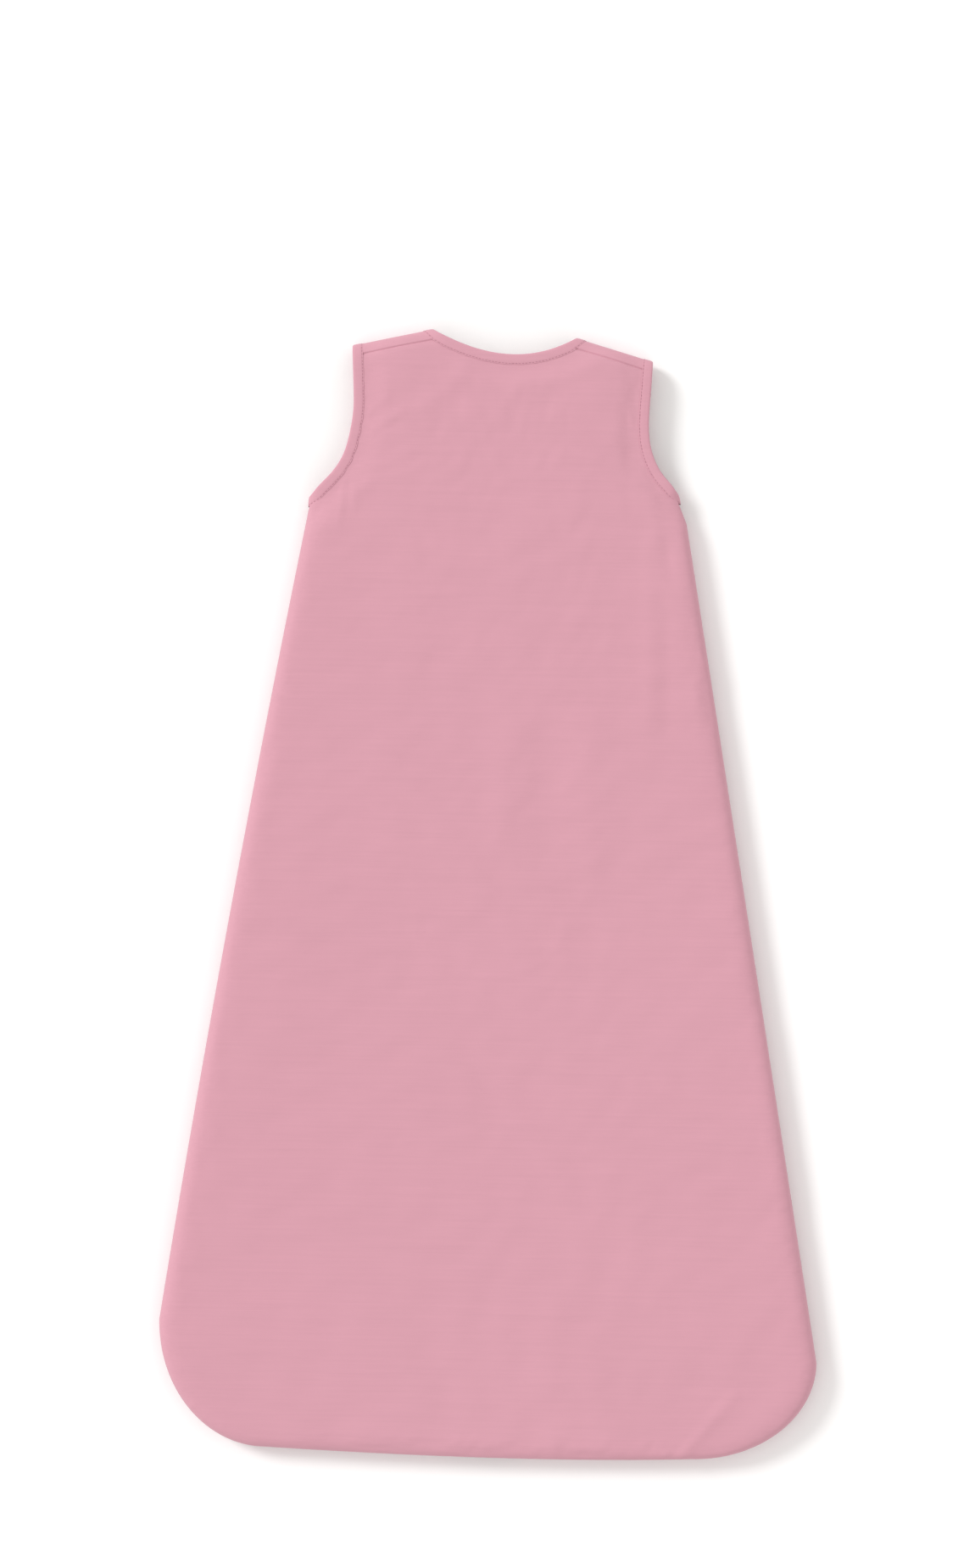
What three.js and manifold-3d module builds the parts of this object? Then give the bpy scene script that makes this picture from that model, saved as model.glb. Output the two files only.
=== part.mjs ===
// A baby's sleeveless, padded sleeping bag, laid flat on its front.
// Millimetres. +Z up, +Y from hem to neck, back panel on top, zip side on the floor.
import * as THREE from 'three';
import { mergeVertices } from 'three/addons/utils/BufferGeometryUtils.js';
import Module from 'manifold-3d';

const wasm = await Module();
wasm.setup();

// ---------- Driving dimensions ----------

const FABRIC = 0.5; // woven cotton, outer and lining
const GAP = 0.3; // left between touching pieces
const PANEL = 6.6; // lining, wadding and outer together, away from any edge
const EDGE = 2.0; // the same three layers, pressed flat at an edge
const SEAM_HEIGHT = 11; // side seam above the floor
const BACK_HEIGHT = 26; // top of the back panel above the floor
const EDGE_ROUNDING = 26; // how far in from a seam the bag reaches full height
const FREE_ROUNDING = 20; // how far in from a bound edge a panel is thinned

const BINDING_WIDTH = 8.5;
const BINDING_THICKNESS = 3.0;
const BINDING_ROUND = 0.7; // how far its edges are rounded off
const PANEL_INSET = BINDING_WIDTH + 1.4; // panels stop just inside their bindings
const NECK_CORNER = 5; // cut off the panels' corners beside the neck points
const FOLD_RADIUS = 2.2; // of a binding that turns over a shoulder or an underarm
const FRONT_NECK_DROP = 62; // front neckline below the neck points
const BACK_EDGE_HEIGHT = 21.5; // middle of the back panel at its bound edges
const FRONT_EDGE_HEIGHT = 2.4; // middle of the front panels at theirs

const ZIP_HEIGHT = 6.9; // middle of the zip tapes above the floor
const TAPE = { inner: 2.2, outer: 14, thickness: 0.6, top: 374, bottom: -443.5 };
const COIL = { inner: 0.5, outer: 3.0, thickness: 2.2, top: 366, bottom: -404 };
const ZIP_EDGE = 8; // folded edge of each front panel beside the coil
const ZIP_PANEL = 2.4; // thickness of the front beside the zip
const STOP = { length: 3, height: 2.6, overhang: 0.2 };
const WADDING_EDGE = 16; // the front wadding stops clear of the tape
const VALLEY = { half: 16, width: 22 }; // strip of front lifted off the floor by the zip
const TAB_VALLEY = { wider: 12, from: 300, over: 40 }; // the valley widens upwards, behind the chin tab
const GUARD = { left: -12, right: 16, thickness: 0.8, clear: 0.6 };

const SLIDER = { length: 12, head: 9.6, tail: 7.6, plate: 1.0, gap: 2.8, post: 0.4 };
const UPPER_SLIDER_Y = 351;
const LOWER_SLIDER_Y = -392;
const BRIDGE = { width: 2.6, length: 8, wall: 0.8, height: 3.0 };
const PULL = { width: 7, length: 30, thickness: 1.2, slotWidth: 3.8, slotLength: 8.4, bar: 1.2 };
const LIP = { reach: 3.5, end: 0.7 }; // the slider's plates turn in beside the coil

const TAB = { left: -17, right: 18, bottom: 358, top: 381, low: 2.4, thickness: 1.2 };
const TAB_ROUND = 6; // radius of the tab's free corners
const TAB_BASE = { width: 6.5, clear: 0.5 }; // the strip that the tab is sewn on by
const SNAP = { x: 12, y: 369.5, radius: 4.4, inner: 4.0 };

const SIZE_LABEL = { left: -12, right: 12, bottom: 396, top: 419 };
const CARE_LABEL = { left: -196, right: -166, bottom: -10, top: 32 };
const RIBBON = 0.4; // thickness of a label

// Where one side's edge changes over: corner, side seam, step at the underarm, armhole.
const SIDE_BREAKS = [0, 0.09, 0.84, 0.852, 1];
const SHOULDER_SPLIT = { from: 262, over: 35 }; // above this the two faces stand apart at the seams

// The outline as the bag lies, one side a little fuller than the other.
const LEFT = {
  neck: [-59.6, 450],
  shoulder: [-123, 436],
  armhole: [[-121.4, 402], [-121, 386], [-123.4, 367.5], [-128.4, 348.6], [-137.6, 333.8], [-148.4, 322.9]],
  underarm: [-155.4, 313.4],
  body: [-156.2, 302],
  bulge: 3.4,
  cornerTop: [-263.2, -343],
  cornerEnd: [-177.5, -443.4],
};
const RIGHT = {
  neck: [56, 445],
  shoulder: [116.9, 427.3],
  armhole: [[115.6, 404], [114.4, 384], [114.6, 368], [117.8, 352.5], [125.3, 337.4], [133.6, 329]],
  underarm: [139.6, 319.5],
  body: [146.4, 297.2],
  bulge: 0.2,
  cornerTop: [262, -369],
  cornerEnd: [163.8, -447.3],
};
const BACK_NECK_LOW = [1.7, 430.7];
const HEM_LOW = [10, -449.2];

// ---------- Materials ----------

const cotton = { color: 0xdca3b1, roughness: 0.9, metalness: 0 };
const bindingCotton = { color: 0xd89baa, roughness: 0.9, metalness: 0 };
const fleece = { color: 0xf4f2ee, roughness: 1, metalness: 0 };
const liningCotton = { color: 0xf1e7e4, roughness: 0.9, metalness: 0 };
const tapeWeave = { color: 0xd497a6, roughness: 0.85, metalness: 0 };
const nylon = { color: 0xd48fa0, roughness: 0.45, metalness: 0 };
const nickel = { color: 0xc9c9c6, roughness: 0.3, metalness: 1 };
const ribbon = { color: 0xfaf8f4, roughness: 0.7, metalness: 0 };

// ---------- Small helpers ----------

const vec = ([x, y]) => new THREE.Vector2(x, y);
const mix = (a, b, t) => a + (b - a) * t;
const clamp01 = (t) => Math.min(1, Math.max(0, t));
const ease = (t) => clamp01(t) ** 2 * (3 - 2 * clamp01(t));
const sample = (curve, n) => Array.from({ length: n + 1 }, (_, i) => curve(i / n));

// A function of 0..1 that follows one curve after another, changing over at the breaks.
function chain(breaks, curves) {
  return (t) => {
    let k = 0;
    while (k < curves.length - 1 && t > breaks[k + 1]) k += 1;
    return curves[k](clamp01((t - breaks[k]) / (breaks[k + 1] - breaks[k])));
  };
}

const line = (a, b) => (t) => a.clone().lerp(b, t);
const spline = (points) => {
  const curve = new THREE.SplineCurve(points);
  return (t) => curve.getPoint(t);
};

// A gently bowed line from a to b whose middle passes through the point given.
function bow(a, middle, b) {
  const control = middle.clone().multiplyScalar(2).addScaledVector(a, -0.5).addScaledVector(b, -0.5);
  const curve = new THREE.QuadraticBezierCurve(a, control, b);
  return (t) => curve.getPoint(t);
}

// Direction across a curve, to its right as it is followed.
function across(curve, t) {
  const step = 0.002;
  const d = curve(clamp01(t + step)).sub(curve(clamp01(t - step))).normalize();
  return new THREE.Vector2(d.y, -d.x);
}

function distanceTo(lines, p) {
  let best = Infinity;
  for (const points of lines) {
    for (let i = 1; i < points.length; i += 1) {
      const a = points[i - 1];
      const ab = points[i].clone().sub(a);
      const t = clamp01(p.clone().sub(a).dot(ab) / Math.max(ab.lengthSq(), 1e-6));
      best = Math.min(best, p.distanceTo(a.clone().addScaledVector(ab, t)));
    }
  }
  return best;
}

// ---------- Outline ----------

// One side of the bag, from the middle of its bottom corner up to the shoulder.
function sideOf(d) {
  const sign = Math.sign(d.neck[0]);
  const neck = vec(d.neck);
  const shoulder = vec(d.shoulder);
  const underarm = vec(d.underarm);
  const body = vec(d.body);
  const cornerTop = vec(d.cornerTop);
  const cornerEnd = vec(d.cornerEnd);
  const radiusX = Math.abs(cornerTop.x - cornerEnd.x);
  const radiusY = Math.abs(cornerTop.y - cornerEnd.y);
  const corner = (angle) => new THREE.Vector2(
    cornerEnd.x + sign * radiusX * Math.cos(angle),
    cornerTop.y - radiusY * Math.sin(angle),
  );
  const cornerUp = (t) => corner((1 - t) * Math.PI / 4);
  const cornerDown = (t) => corner(Math.PI / 4 + t * Math.PI / 4);
  const middle = cornerTop.clone().add(body).multiplyScalar(0.5);
  middle.x += sign * d.bulge;
  const flank = bow(cornerTop, middle, body);
  const armhole = spline([underarm, ...d.armhole.map(vec).reverse(), shoulder]);
  const along = neck.clone().sub(shoulder).normalize();
  const innerShoulder = shoulder.clone().addScaledVector(along, PANEL_INSET);
  const innerNeck = neck.clone().addScaledVector(along, -PANEL_INSET - NECK_CORNER);
  const inner = sample((t) => armhole(t).addScaledVector(across(armhole, t), -sign * PANEL_INSET), 12);
  inner[inner.length - 1] = innerShoulder;
  const innerArmhole = spline(inner);
  const edge = chain(SIDE_BREAKS, [cornerUp, flank, line(body, inner[0]), innerArmhole]);
  const sewn = [
    underarm,
    ...sample(flank, 8).reverse(),
    ...sample(cornerUp, 5).reverse(),
    ...sample(cornerDown, 5),
  ];
  return {
    sign, neck, shoulder, along, underarm, sewn,
    armhole, innerArmhole, innerShoulder, innerNeck, edge, cornerDown,
  };
}

const left = sideOf(LEFT);
const right = sideOf(RIGHT);

const hemStart = left.cornerDown(1);
const hemEnd = right.cornerDown(1);
const hem = bow(hemStart, vec(HEM_LOW), hemEnd);
const backNeck = bow(left.neck, vec(BACK_NECK_LOW), right.neck);

// Half of the front neckline, a quarter ellipse from a neck point down to the zip.
function frontNeck(side) {
  const halfWidth = Math.abs(side.neck.x);
  const lowAngle = Math.acos(ZIP_EDGE / halfWidth);
  return (t) => new THREE.Vector2(
    side.sign * halfWidth * Math.cos(t * lowAngle),
    side.neck.y - FRONT_NECK_DROP * Math.sin(t * lowAngle),
  );
}

const insetCurve = (curve, sign) => (t) => curve(t).addScaledVector(across(curve, t), sign * PANEL_INSET);
const innerBackNeck = insetCurve(backNeck, 1);

const sewnLines = [
  left.sewn,
  sample(hem, 10),
  right.sewn,
  [left.neck, left.shoulder],
  [right.neck, right.shoulder],
];
const armholeLines = [sample(left.innerArmhole, 10), sample(right.innerArmhole, 10)];
const backFree = [...armholeLines, sample(innerBackNeck, 10)];
const frontFree = [
  ...armholeLines,
  sample(insetCurve(frontNeck(left), 1), 8),
  sample(insetCurve(frontNeck(right), -1), 8),
];

// ---------- Heights ----------

// 1 at a seam, falling to 0 over the rounding of the bag's edge, as a quarter circle does.
function pinch(p) {
  const s = 1 - clamp01(distanceTo(sewnLines, p) / EDGE_ROUNDING);
  return 1 - Math.sqrt(1 - s * s);
}

const thinning = (lines, p) => 1 - ease(distanceTo(lines, p) / FREE_ROUNDING);

// Front and back stand apart where bindings fold over, and meet along the body's seams.
function seamSplit(p) {
  return mix((EDGE + GAP) / 2, FOLD_RADIUS, ease((p.y - SHOULDER_SPLIT.from) / SHOULDER_SPLIT.over));
}

// How much the zip lifts the front off the floor: 1 beside it, 0 away from it.
function zipLift(p) {
  const half = VALLEY.half + TAB_VALLEY.wider * ease((p.y - TAB_VALLEY.from) / TAB_VALLEY.over);
  return 1 - ease((Math.abs(p.x) - half) / VALLEY.width);
}

// Each panel's middle height and half thickness over a point of the plan.
function backPanel(p) {
  const free = thinning(backFree, p);
  const sewn = pinch(p);
  const middle = mix(BACK_HEIGHT - PANEL / 2, BACK_EDGE_HEIGHT, free);
  const half = mix(PANEL / 2, EDGE / 2, free);
  return { middle: mix(middle, SEAM_HEIGHT + seamSplit(p), sewn), half: mix(half, EDGE / 2, sewn) };
}

function frontPanel(p) {
  const free = thinning(frontFree, p);
  const lift = zipLift(p);
  const sewn = pinch(p);
  let middle = mix(PANEL / 2, FRONT_EDGE_HEIGHT, free);
  let half = mix(PANEL / 2, EDGE / 2, free);
  middle = mix(middle, ZIP_HEIGHT, lift);
  half = mix(half, ZIP_PANEL / 2, lift);
  const halfSewn = mix(EDGE / 2, ZIP_PANEL / 2, lift);
  return { middle: mix(middle, SEAM_HEIGHT - seamSplit(p), sewn), half: mix(half, halfSewn, sewn) };
}

// ---------- Solids ----------

function solid(positions, index) {
  const geometry = new THREE.BufferGeometry();
  geometry.setAttribute('position', new THREE.Float32BufferAttribute(positions, 3));
  geometry.setIndex(index);
  return geometry;
}

// A closed sheet over a grid of plan points, between two heights.
function sheet(rows, low, high) {
  const [a, b, c] = [rows[0][0], rows[0][1], rows[1][0]];
  const turnsLeft = (b.x - a.x) * (c.y - a.y) - (b.y - a.y) * (c.x - a.x) > 0;
  const grid = turnsLeft ? rows : rows.map((row) => [...row].reverse());
  const columns = grid[0].length;
  const count = grid.length * columns;
  const positions = [];
  for (const height of [high, low]) {
    for (const row of grid) {
      for (const p of row) positions.push(p.x, p.y, height(p));
    }
  }
  const index = [];
  const quad = (p, q, r, s) => index.push(p, q, r, p, r, s);
  for (let j = 0; j < grid.length - 1; j += 1) {
    for (let i = 0; i < columns - 1; i += 1) {
      const p = j * columns + i;
      const s = p + columns;
      quad(p, p + 1, s + 1, s);
      quad(p + count, s + count, s + 1 + count, p + 1 + count);
    }
  }
  const last = grid.length - 1;
  const rim = [
    ...grid[0].map((_, i) => i),
    ...grid.slice(1).map((_, j) => (j + 1) * columns + columns - 1),
    ...grid[0].slice(1).map((_, i) => last * columns + columns - 2 - i),
    ...grid.slice(1, -1).map((_, j) => (last - 1 - j) * columns),
  ];
  rim.forEach((p, k) => {
    const q = rim[(k + 1) % rim.length];
    quad(p + count, q + count, q, p);
  });
  return solid(positions, index);
}

// Grid of plan points between four edges, each a function of 0..1.
function patch(edges, across01, up01) {
  const { west, east, south, north } = edges;
  const corners = [south(0), south(1), north(0), north(1)];
  return up01.map((v) => across01.map((u) => {
    const p = south(u).multiplyScalar(1 - v).addScaledVector(north(u), v);
    p.addScaledVector(west(v), 1 - u).addScaledVector(east(v), u);
    p.addScaledVector(corners[0], -(1 - u) * (1 - v)).addScaledVector(corners[1], -u * (1 - v));
    return p.addScaledVector(corners[2], -(1 - u) * v).addScaledVector(corners[3], -u * v);
  }));
}

// A band with an eight-sided section, carried through stations of place and width direction.
function band(stations, closed) {
  const n = stations.length;
  const w = BINDING_WIDTH / 2;
  const h = BINDING_THICKNESS / 2;
  const flat = w - BINDING_ROUND;
  const section = [
    [flat, -h], [w, -h / 2], [w, h / 2], [flat, h],
    [-flat, h], [-w, h / 2], [-w, -h / 2], [-flat, -h],
  ];
  const positions = [];
  stations.forEach(({ at, width }, i) => {
    const before = stations[closed ? (i + n - 1) % n : Math.max(0, i - 1)].at;
    const after = stations[closed ? (i + 1) % n : Math.min(n - 1, i + 1)].at;
    const along = after.clone().sub(before).normalize();
    const side = new THREE.Vector3(width.x, width.y, 0).normalize();
    const up = new THREE.Vector3().crossVectors(along, side).normalize();
    for (const [a, b] of section) {
      const p = at.clone().addScaledVector(side, a).addScaledVector(up, b);
      positions.push(p.x, p.y, p.z);
    }
  });
  const m = section.length;
  const index = [];
  for (let i = 0; i < (closed ? n : n - 1); i += 1) {
    for (let k = 0; k < m; k += 1) {
      const [p, q] = [i * m + k, i * m + (k + 1) % m];
      const [r, s] = [((i + 1) % n) * m + (k + 1) % m, ((i + 1) % n) * m + k];
      index.push(p, q, r, p, r, s);
    }
  }
  if (!closed) {
    const end = (n - 1) * m;
    for (let k = 1; k < m - 1; k += 1) index.push(0, k + 1, k, end, end + k, end + k + 1);
  }
  return faceOutwards(solid(positions, index));
}

function faceOutwards(geometry) {
  const p = geometry.getAttribute('position');
  const index = geometry.getIndex().array;
  const [a, b, c] = [new THREE.Vector3(), new THREE.Vector3(), new THREE.Vector3()];
  let volume = 0;
  for (let i = 0; i < index.length; i += 3) {
    a.fromBufferAttribute(p, index[i]);
    b.fromBufferAttribute(p, index[i + 1]);
    c.fromBufferAttribute(p, index[i + 2]);
    volume += a.dot(b.cross(c));
  }
  if (volume < 0) {
    for (let i = 0; i < index.length; i += 3) [index[i + 1], index[i + 2]] = [index[i + 2], index[i + 1]];
  }
  return geometry;
}

function box(x0, x1, y0, y1, z0, z1) {
  const geometry = new THREE.BoxGeometry(x1 - x0, y1 - y0, z1 - z0);
  return geometry.translate((x0 + x1) / 2, (y0 + y1) / 2, (z0 + z1) / 2);
}

function outline(points, holes = []) {
  const rim = points.map(vec);
  const shape = new THREE.Shape(THREE.ShapeUtils.isClockWise(rim) ? rim.reverse() : rim);
  holes.forEach((hole) => shape.holes.push(new THREE.Path(hole.map(vec))));
  return shape;
}

const extrude = (shape, depth) => new THREE.ExtrudeGeometry(shape, { depth, bevelEnabled: false });

// A turned part about the vertical line through (x, y); the profile gives radius and height.
function turned(profile, x, y) {
  const geometry = new THREE.LatheGeometry(profile.map(vec), 24);
  return geometry.rotateX(Math.PI / 2).translate(x, y, 0);
}

function toManifold(geometry) {
  const bare = geometry.clone();
  bare.deleteAttribute('normal');
  bare.deleteAttribute('uv');
  const merged = mergeVertices(bare, 1e-4);
  return new wasm.Manifold(new wasm.Mesh({
    numProp: 3,
    vertProperties: new Float32Array(merged.getAttribute('position').array),
    triVerts: new Uint32Array(merged.getIndex().array),
  }));
}

function fromManifold(manifold) {
  const mesh = manifold.getMesh();
  return solid(Array.from(mesh.vertProperties), Array.from(mesh.triVerts));
}

// ---------- The model ----------

const bag = new THREE.Group();

function add(name, geometry, finish) {
  const mesh = new THREE.Mesh(geometry, new THREE.MeshStandardMaterial(finish));
  mesh.name = name;
  bag.add(mesh);
  return mesh;
}

// Outer, wadding and lining of one panel. Up is +1 on the back, whose outer faces up, -1 on the front.
function addPanel(prefix, rows, waddingRows, panel, up) {
  const face = (side, depth) => (p) => {
    const { middle, half } = panel(p);
    return middle + up * side * (half - depth);
  };
  const layer = (grid, inner, outer) => (up > 0 ? sheet(grid, inner, outer) : sheet(grid, outer, inner));
  const between = FABRIC + GAP;
  add(`${prefix}_outer`, layer(rows, face(1, FABRIC), face(1, 0)), cotton);
  add(`${prefix}_wadding`, layer(waddingRows, face(-1, between), face(1, between)), fleece);
  add(`${prefix}_lining`, layer(rows, face(-1, 0), face(-1, FABRIC)), liningCotton);
}

// Rows gather near the edges, where the bag rounds over.
const UP = [
  0, 0.01, 0.03, 0.055, 0.09, 0.22, 0.4, 0.6, 0.76, 0.84,
  0.852, 0.872, 0.892, 0.912, 0.932, 0.952, 0.97, 0.987, 1,
];
const OVER = [0, 0.012, 0.035, 0.08, 0.2, 0.22, 0.28, 0.35, 0.42, 0.5];
const BACK_OVER = [...OVER, ...OVER.slice(0, -1).reverse().map((u) => 1 - u)];
const FRONT_OVER = [0, 0.025, 0.07, 0.16, 0.4, 0.44, 0.54, 0.65, 0.77, 0.89, 1];

function addBack() {
  const rows = patch({
    west: left.edge,
    east: right.edge,
    south: chain([0, 0.14, 0.86, 1], [left.cornerDown, hem, (t) => right.cornerDown(1 - t)]),
    north: chain([0, 0.2, 0.22, 0.78, 0.8, 1], [
      line(left.innerShoulder, left.innerNeck),
      line(left.innerNeck, innerBackNeck(0)),
      innerBackNeck,
      line(innerBackNeck(1), right.innerNeck),
      line(right.innerNeck, right.innerShoulder),
    ]),
  }, BACK_OVER, UP);
  addPanel('back', rows, rows, backPanel, 1);
}

const TURN = 0.08; // share of the front neckline taken by the turn at the neck point

// A front panel reaches from its side seam to the zip. Its last column, beside the zip, has no wadding.
function addFront(side, name) {
  const neck = frontNeck(side);
  const inner = insetCurve(neck, -side.sign);
  const atX = (x) => {
    let t = 1;
    while (t > 0 && Math.abs(inner(t).x) < x) t -= 0.005;
    return t;
  };
  const tWadding = atX(WADDING_EDGE);
  const innerTop = inner(tWadding);
  innerTop.x = side.sign * WADDING_EDGE;
  const zipSide = side.sign * WADDING_EDGE;
  const hemPoint = (x) => {
    let t = 0;
    while (t < 1 && hem(t).x < x) t += 0.002;
    return hem(t);
  };
  const foot = hemPoint(zipSide);
  foot.x = zipSide;
  const hemHalf = side.sign < 0
    ? (t) => hem(t * ((foot.x - hemStart.x) / (hemEnd.x - hemStart.x)))
    : (t) => hem(1 - t * ((hemEnd.x - foot.x) / (hemEnd.x - hemStart.x)));
  const south = chain([0, 0.28, 1], [side.cornerDown, (t) => (t > 0.999 ? foot.clone() : hemHalf(t))]);
  const north = chain([0, 0.4, 0.44, 1], [
    line(side.innerShoulder, side.innerNeck),
    line(side.innerNeck, inner(TURN)),
    (t) => (t > 0.999 ? innerTop.clone() : inner(mix(TURN, tWadding, t))),
  ]);
  const waddingRows = patch({ west: side.edge, east: line(foot, innerTop), south, north }, FRONT_OVER, UP);
  const rows = waddingRows.map((row) => {
    const p = row[row.length - 1];
    return [...row, new THREE.Vector2(side.sign * ZIP_EDGE, p.y)];
  });
  addPanel(name, rows, waddingRows, frontPanel, -1);
}

// Stations of a binding along one curve. The binding lies to the given side of it.
function bindingRun(curve, sign, panel, from, to, count) {
  return sample((t) => t, count).map((k) => {
    const t = mix(from, to, k);
    const width = across(curve, t).multiplyScalar(sign);
    const edge = curve(t);
    const at = edge.clone().addScaledVector(width, BINDING_WIDTH / 2);
    const height = panel(edge.clone().addScaledVector(width, PANEL_INSET)).middle;
    return { at: new THREE.Vector3(at.x, at.y, height), width };
  });
}

// The half turn of a binding from the back, over the end of a seam, to the front.
function bindingFold(corner, width, outward) {
  const base = corner.clone().addScaledVector(width, BINDING_WIDTH / 2);
  base.addScaledVector(outward, -FOLD_RADIUS - BINDING_THICKNESS / 2);
  return [90, 54, 18, -18, -54, -90].map((degrees) => {
    const angle = degrees * Math.PI / 180;
    const p = base.clone().addScaledVector(outward, FOLD_RADIUS * Math.cos(angle));
    return { at: new THREE.Vector3(p.x, p.y, SEAM_HEIGHT + FOLD_RADIUS * Math.sin(angle)), width };
  });
}

function addNeckBinding() {
  const fold = (side) => {
    const width = side.along.clone().negate();
    const outward = new THREE.Vector2(-width.y, width.x);
    if (outward.y < 0) outward.negate();
    return bindingFold(side.neck, width, outward);
  };
  add('neck_binding', band([
    ...bindingRun(frontNeck(left), 1, frontPanel, 1, 0.1, 9),
    ...fold(left).reverse(),
    ...bindingRun(backNeck, 1, backPanel, 0.07, 0.93, 12),
    ...fold(right),
    ...bindingRun(frontNeck(right), -1, frontPanel, 0.1, 1, 9),
  ], false), bindingCotton);
}

function addArmholeBinding(side, name) {
  const topOutward = new THREE.Vector2(-side.along.y, side.along.x);
  if (topOutward.y < 0) topOutward.negate();
  const lowWidth = across(side.armhole, 0).multiplyScalar(-side.sign);
  const lowOutward = side.armhole(0.02).sub(side.armhole(0)).normalize().negate();
  add(name, band([
    ...bindingRun(side.armhole, -side.sign, backPanel, 0.06, 0.95, 11),
    ...bindingFold(side.shoulder, side.along, topOutward),
    ...bindingRun(side.armhole, -side.sign, frontPanel, 0.95, 0.06, 11),
    ...bindingFold(side.underarm, lowWidth, lowOutward).reverse(),
  ], true), bindingCotton);
}

const tapeHeight = (y) => frontPanel(new THREE.Vector2(0, y)).middle;

function addZipHalf(side, name) {
  const hemY = hem(0.5).y;
  const ys = [TAPE.bottom, hemY + 9, hemY + 14, hemY + 20, hemY + EDGE_ROUNDING + 3, 0, TAPE.top];
  const rows = ys.map((y) => [TAPE.inner, TAPE.outer].map((x) => new THREE.Vector2(side.sign * x, y)));
  const halfTape = TAPE.thickness / 2;
  add(`zip_tape_${name}`, fromManifold(
    toManifold(sheet(rows, (p) => tapeHeight(p.y) - halfTape, (p) => tapeHeight(p.y) + halfTape))
      .subtract(toManifold(coilBar(side, GAP))),
  ), tapeWeave);
  add(`zip_coil_${name}`, coilBar(side, 0), nylon);
  const stop = (y) => {
    const [a, b] = [side.sign * (COIL.inner + 0.1), side.sign * (COIL.outer + STOP.overhang)];
    const half = STOP.height / 2;
    return box(Math.min(a, b), Math.max(a, b), y, y + STOP.length, ZIP_HEIGHT - half, ZIP_HEIGHT + half);
  };
  add(`zip_top_stop_${name}`, stop(COIL.top + GAP), nickel);
  add(`zip_bottom_stop_${name}`, stop(COIL.bottom - GAP - STOP.length), nickel);
}

// Half of the closed coil: a bar with rounded long edges. Grown, it is the room that the tape leaves.
function coilBar(side, grow) {
  const [a, b] = [COIL.inner - grow, COIL.outer + grow];
  const h = COIL.thickness / 2 + grow;
  const shape = outline([
    [a, -h + 0.5], [a + 0.5, -h], [b - 0.5, -h], [b, -h + 0.5],
    [b, h - 0.5], [b - 0.5, h], [a + 0.5, h], [a, h - 0.5],
  ].map(([x, z]) => [side.sign * x, z]));
  const extra = grow > 0 ? 4 : 0;
  return extrude(shape, COIL.top - COIL.bottom + 2 * extra)
    .rotateX(Math.PI / 2)
    .translate(0, COIL.top + extra, ZIP_HEIGHT);
}

// Facing is +1 for a slider whose head points to the neck, -1 for one that points to the hem.
function addSlider(name, y, facing) {
  const inside = SLIDER.gap / 2;
  const outside = inside + SLIDER.plate;
  const halfWidth = SLIDER.head / 2;
  const post = SLIDER.post / 2;
  const quarter = [
    [post, inside],
    [LIP.reach, inside],
    [LIP.reach, LIP.end],
    [halfWidth, LIP.end],
    [halfWidth, outside],
  ];
  const mirrored = (sx, sz) => quarter.map(([x, z]) => [sx * x, sz * z]);
  const profile = outline([
    ...mirrored(1, 1),
    ...mirrored(-1, 1).reverse(),
    ...mirrored(-1, -1),
    ...mirrored(1, -1).reverse(),
  ]);
  const length = SLIDER.length / 2;
  const block = extrude(profile, SLIDER.length).rotateX(Math.PI / 2).translate(0, length, 0);
  const [head, tail] = [SLIDER.head / 2, SLIDER.tail / 2];
  const plan = outline([
    [-tail, -length + 1.5], [-tail + 1.5, -length], [tail - 1.5, -length], [tail, -length + 1.5],
    [head, length - 4], [head, length - 2.5], [head - 2.5, length], [-head + 2.5, length],
    [-head, length - 2.5], [-head, length - 4],
  ].map(([x, py]) => [x, facing * py]));
  const trim = extrude(plan, 12).translate(0, 0, -6);
  const body = fromManifold(toManifold(block).intersect(toManifold(trim)));
  add(`${name}_slider_body`, body.translate(0, y, ZIP_HEIGHT), nickel);

  const plateFace = ZIP_HEIGHT - outside - GAP;
  const bridgeLow = plateFace - BRIDGE.height;
  const reach = BRIDGE.length / 2;
  const arch = outline([
    [-reach, plateFace], [-reach, bridgeLow + 1], [-reach + 1, bridgeLow], [reach - 1, bridgeLow],
    [reach, bridgeLow + 1], [reach, plateFace], [reach - BRIDGE.wall, plateFace],
    [reach - BRIDGE.wall, bridgeLow + BRIDGE.wall], [-reach + BRIDGE.wall, bridgeLow + BRIDGE.wall],
    [-reach + BRIDGE.wall, plateFace],
  ]);
  const turn = new THREE.Matrix4().makeBasis(
    new THREE.Vector3(0, 1, 0),
    new THREE.Vector3(0, 0, 1),
    new THREE.Vector3(1, 0, 0),
  );
  const bridge = extrude(arch, BRIDGE.width).applyMatrix4(turn).translate(-BRIDGE.width / 2, y, 0);
  add(`${name}_slider_bridge`, bridge, nickel);

  const pivot = (plateFace + bridgeLow + BRIDGE.wall) / 2;
  const [w, s] = [PULL.width / 2, PULL.slotWidth / 2];
  const top = PULL.bar / 2;
  const end = top - PULL.length;
  const slot = -top - PULL.slotLength;
  const flip = (points) => points.map(([x, py]) => [x, facing * py]);
  const rim = [
    [-w, top - 1], [-w + 1, top], [w - 1, top], [w, top - 1],
    [w, end + 2], [w - 2, end], [-w + 2, end], [-w, end + 2],
  ];
  const plate = outline(flip(rim), [flip([[-s, -top], [s, -top], [s, slot], [-s, slot]])]);
  const pull = extrude(plate, PULL.thickness).translate(0, y, pivot - PULL.thickness / 2);
  add(`${name}_pull_tab`, pull, nickel);
}

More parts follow.
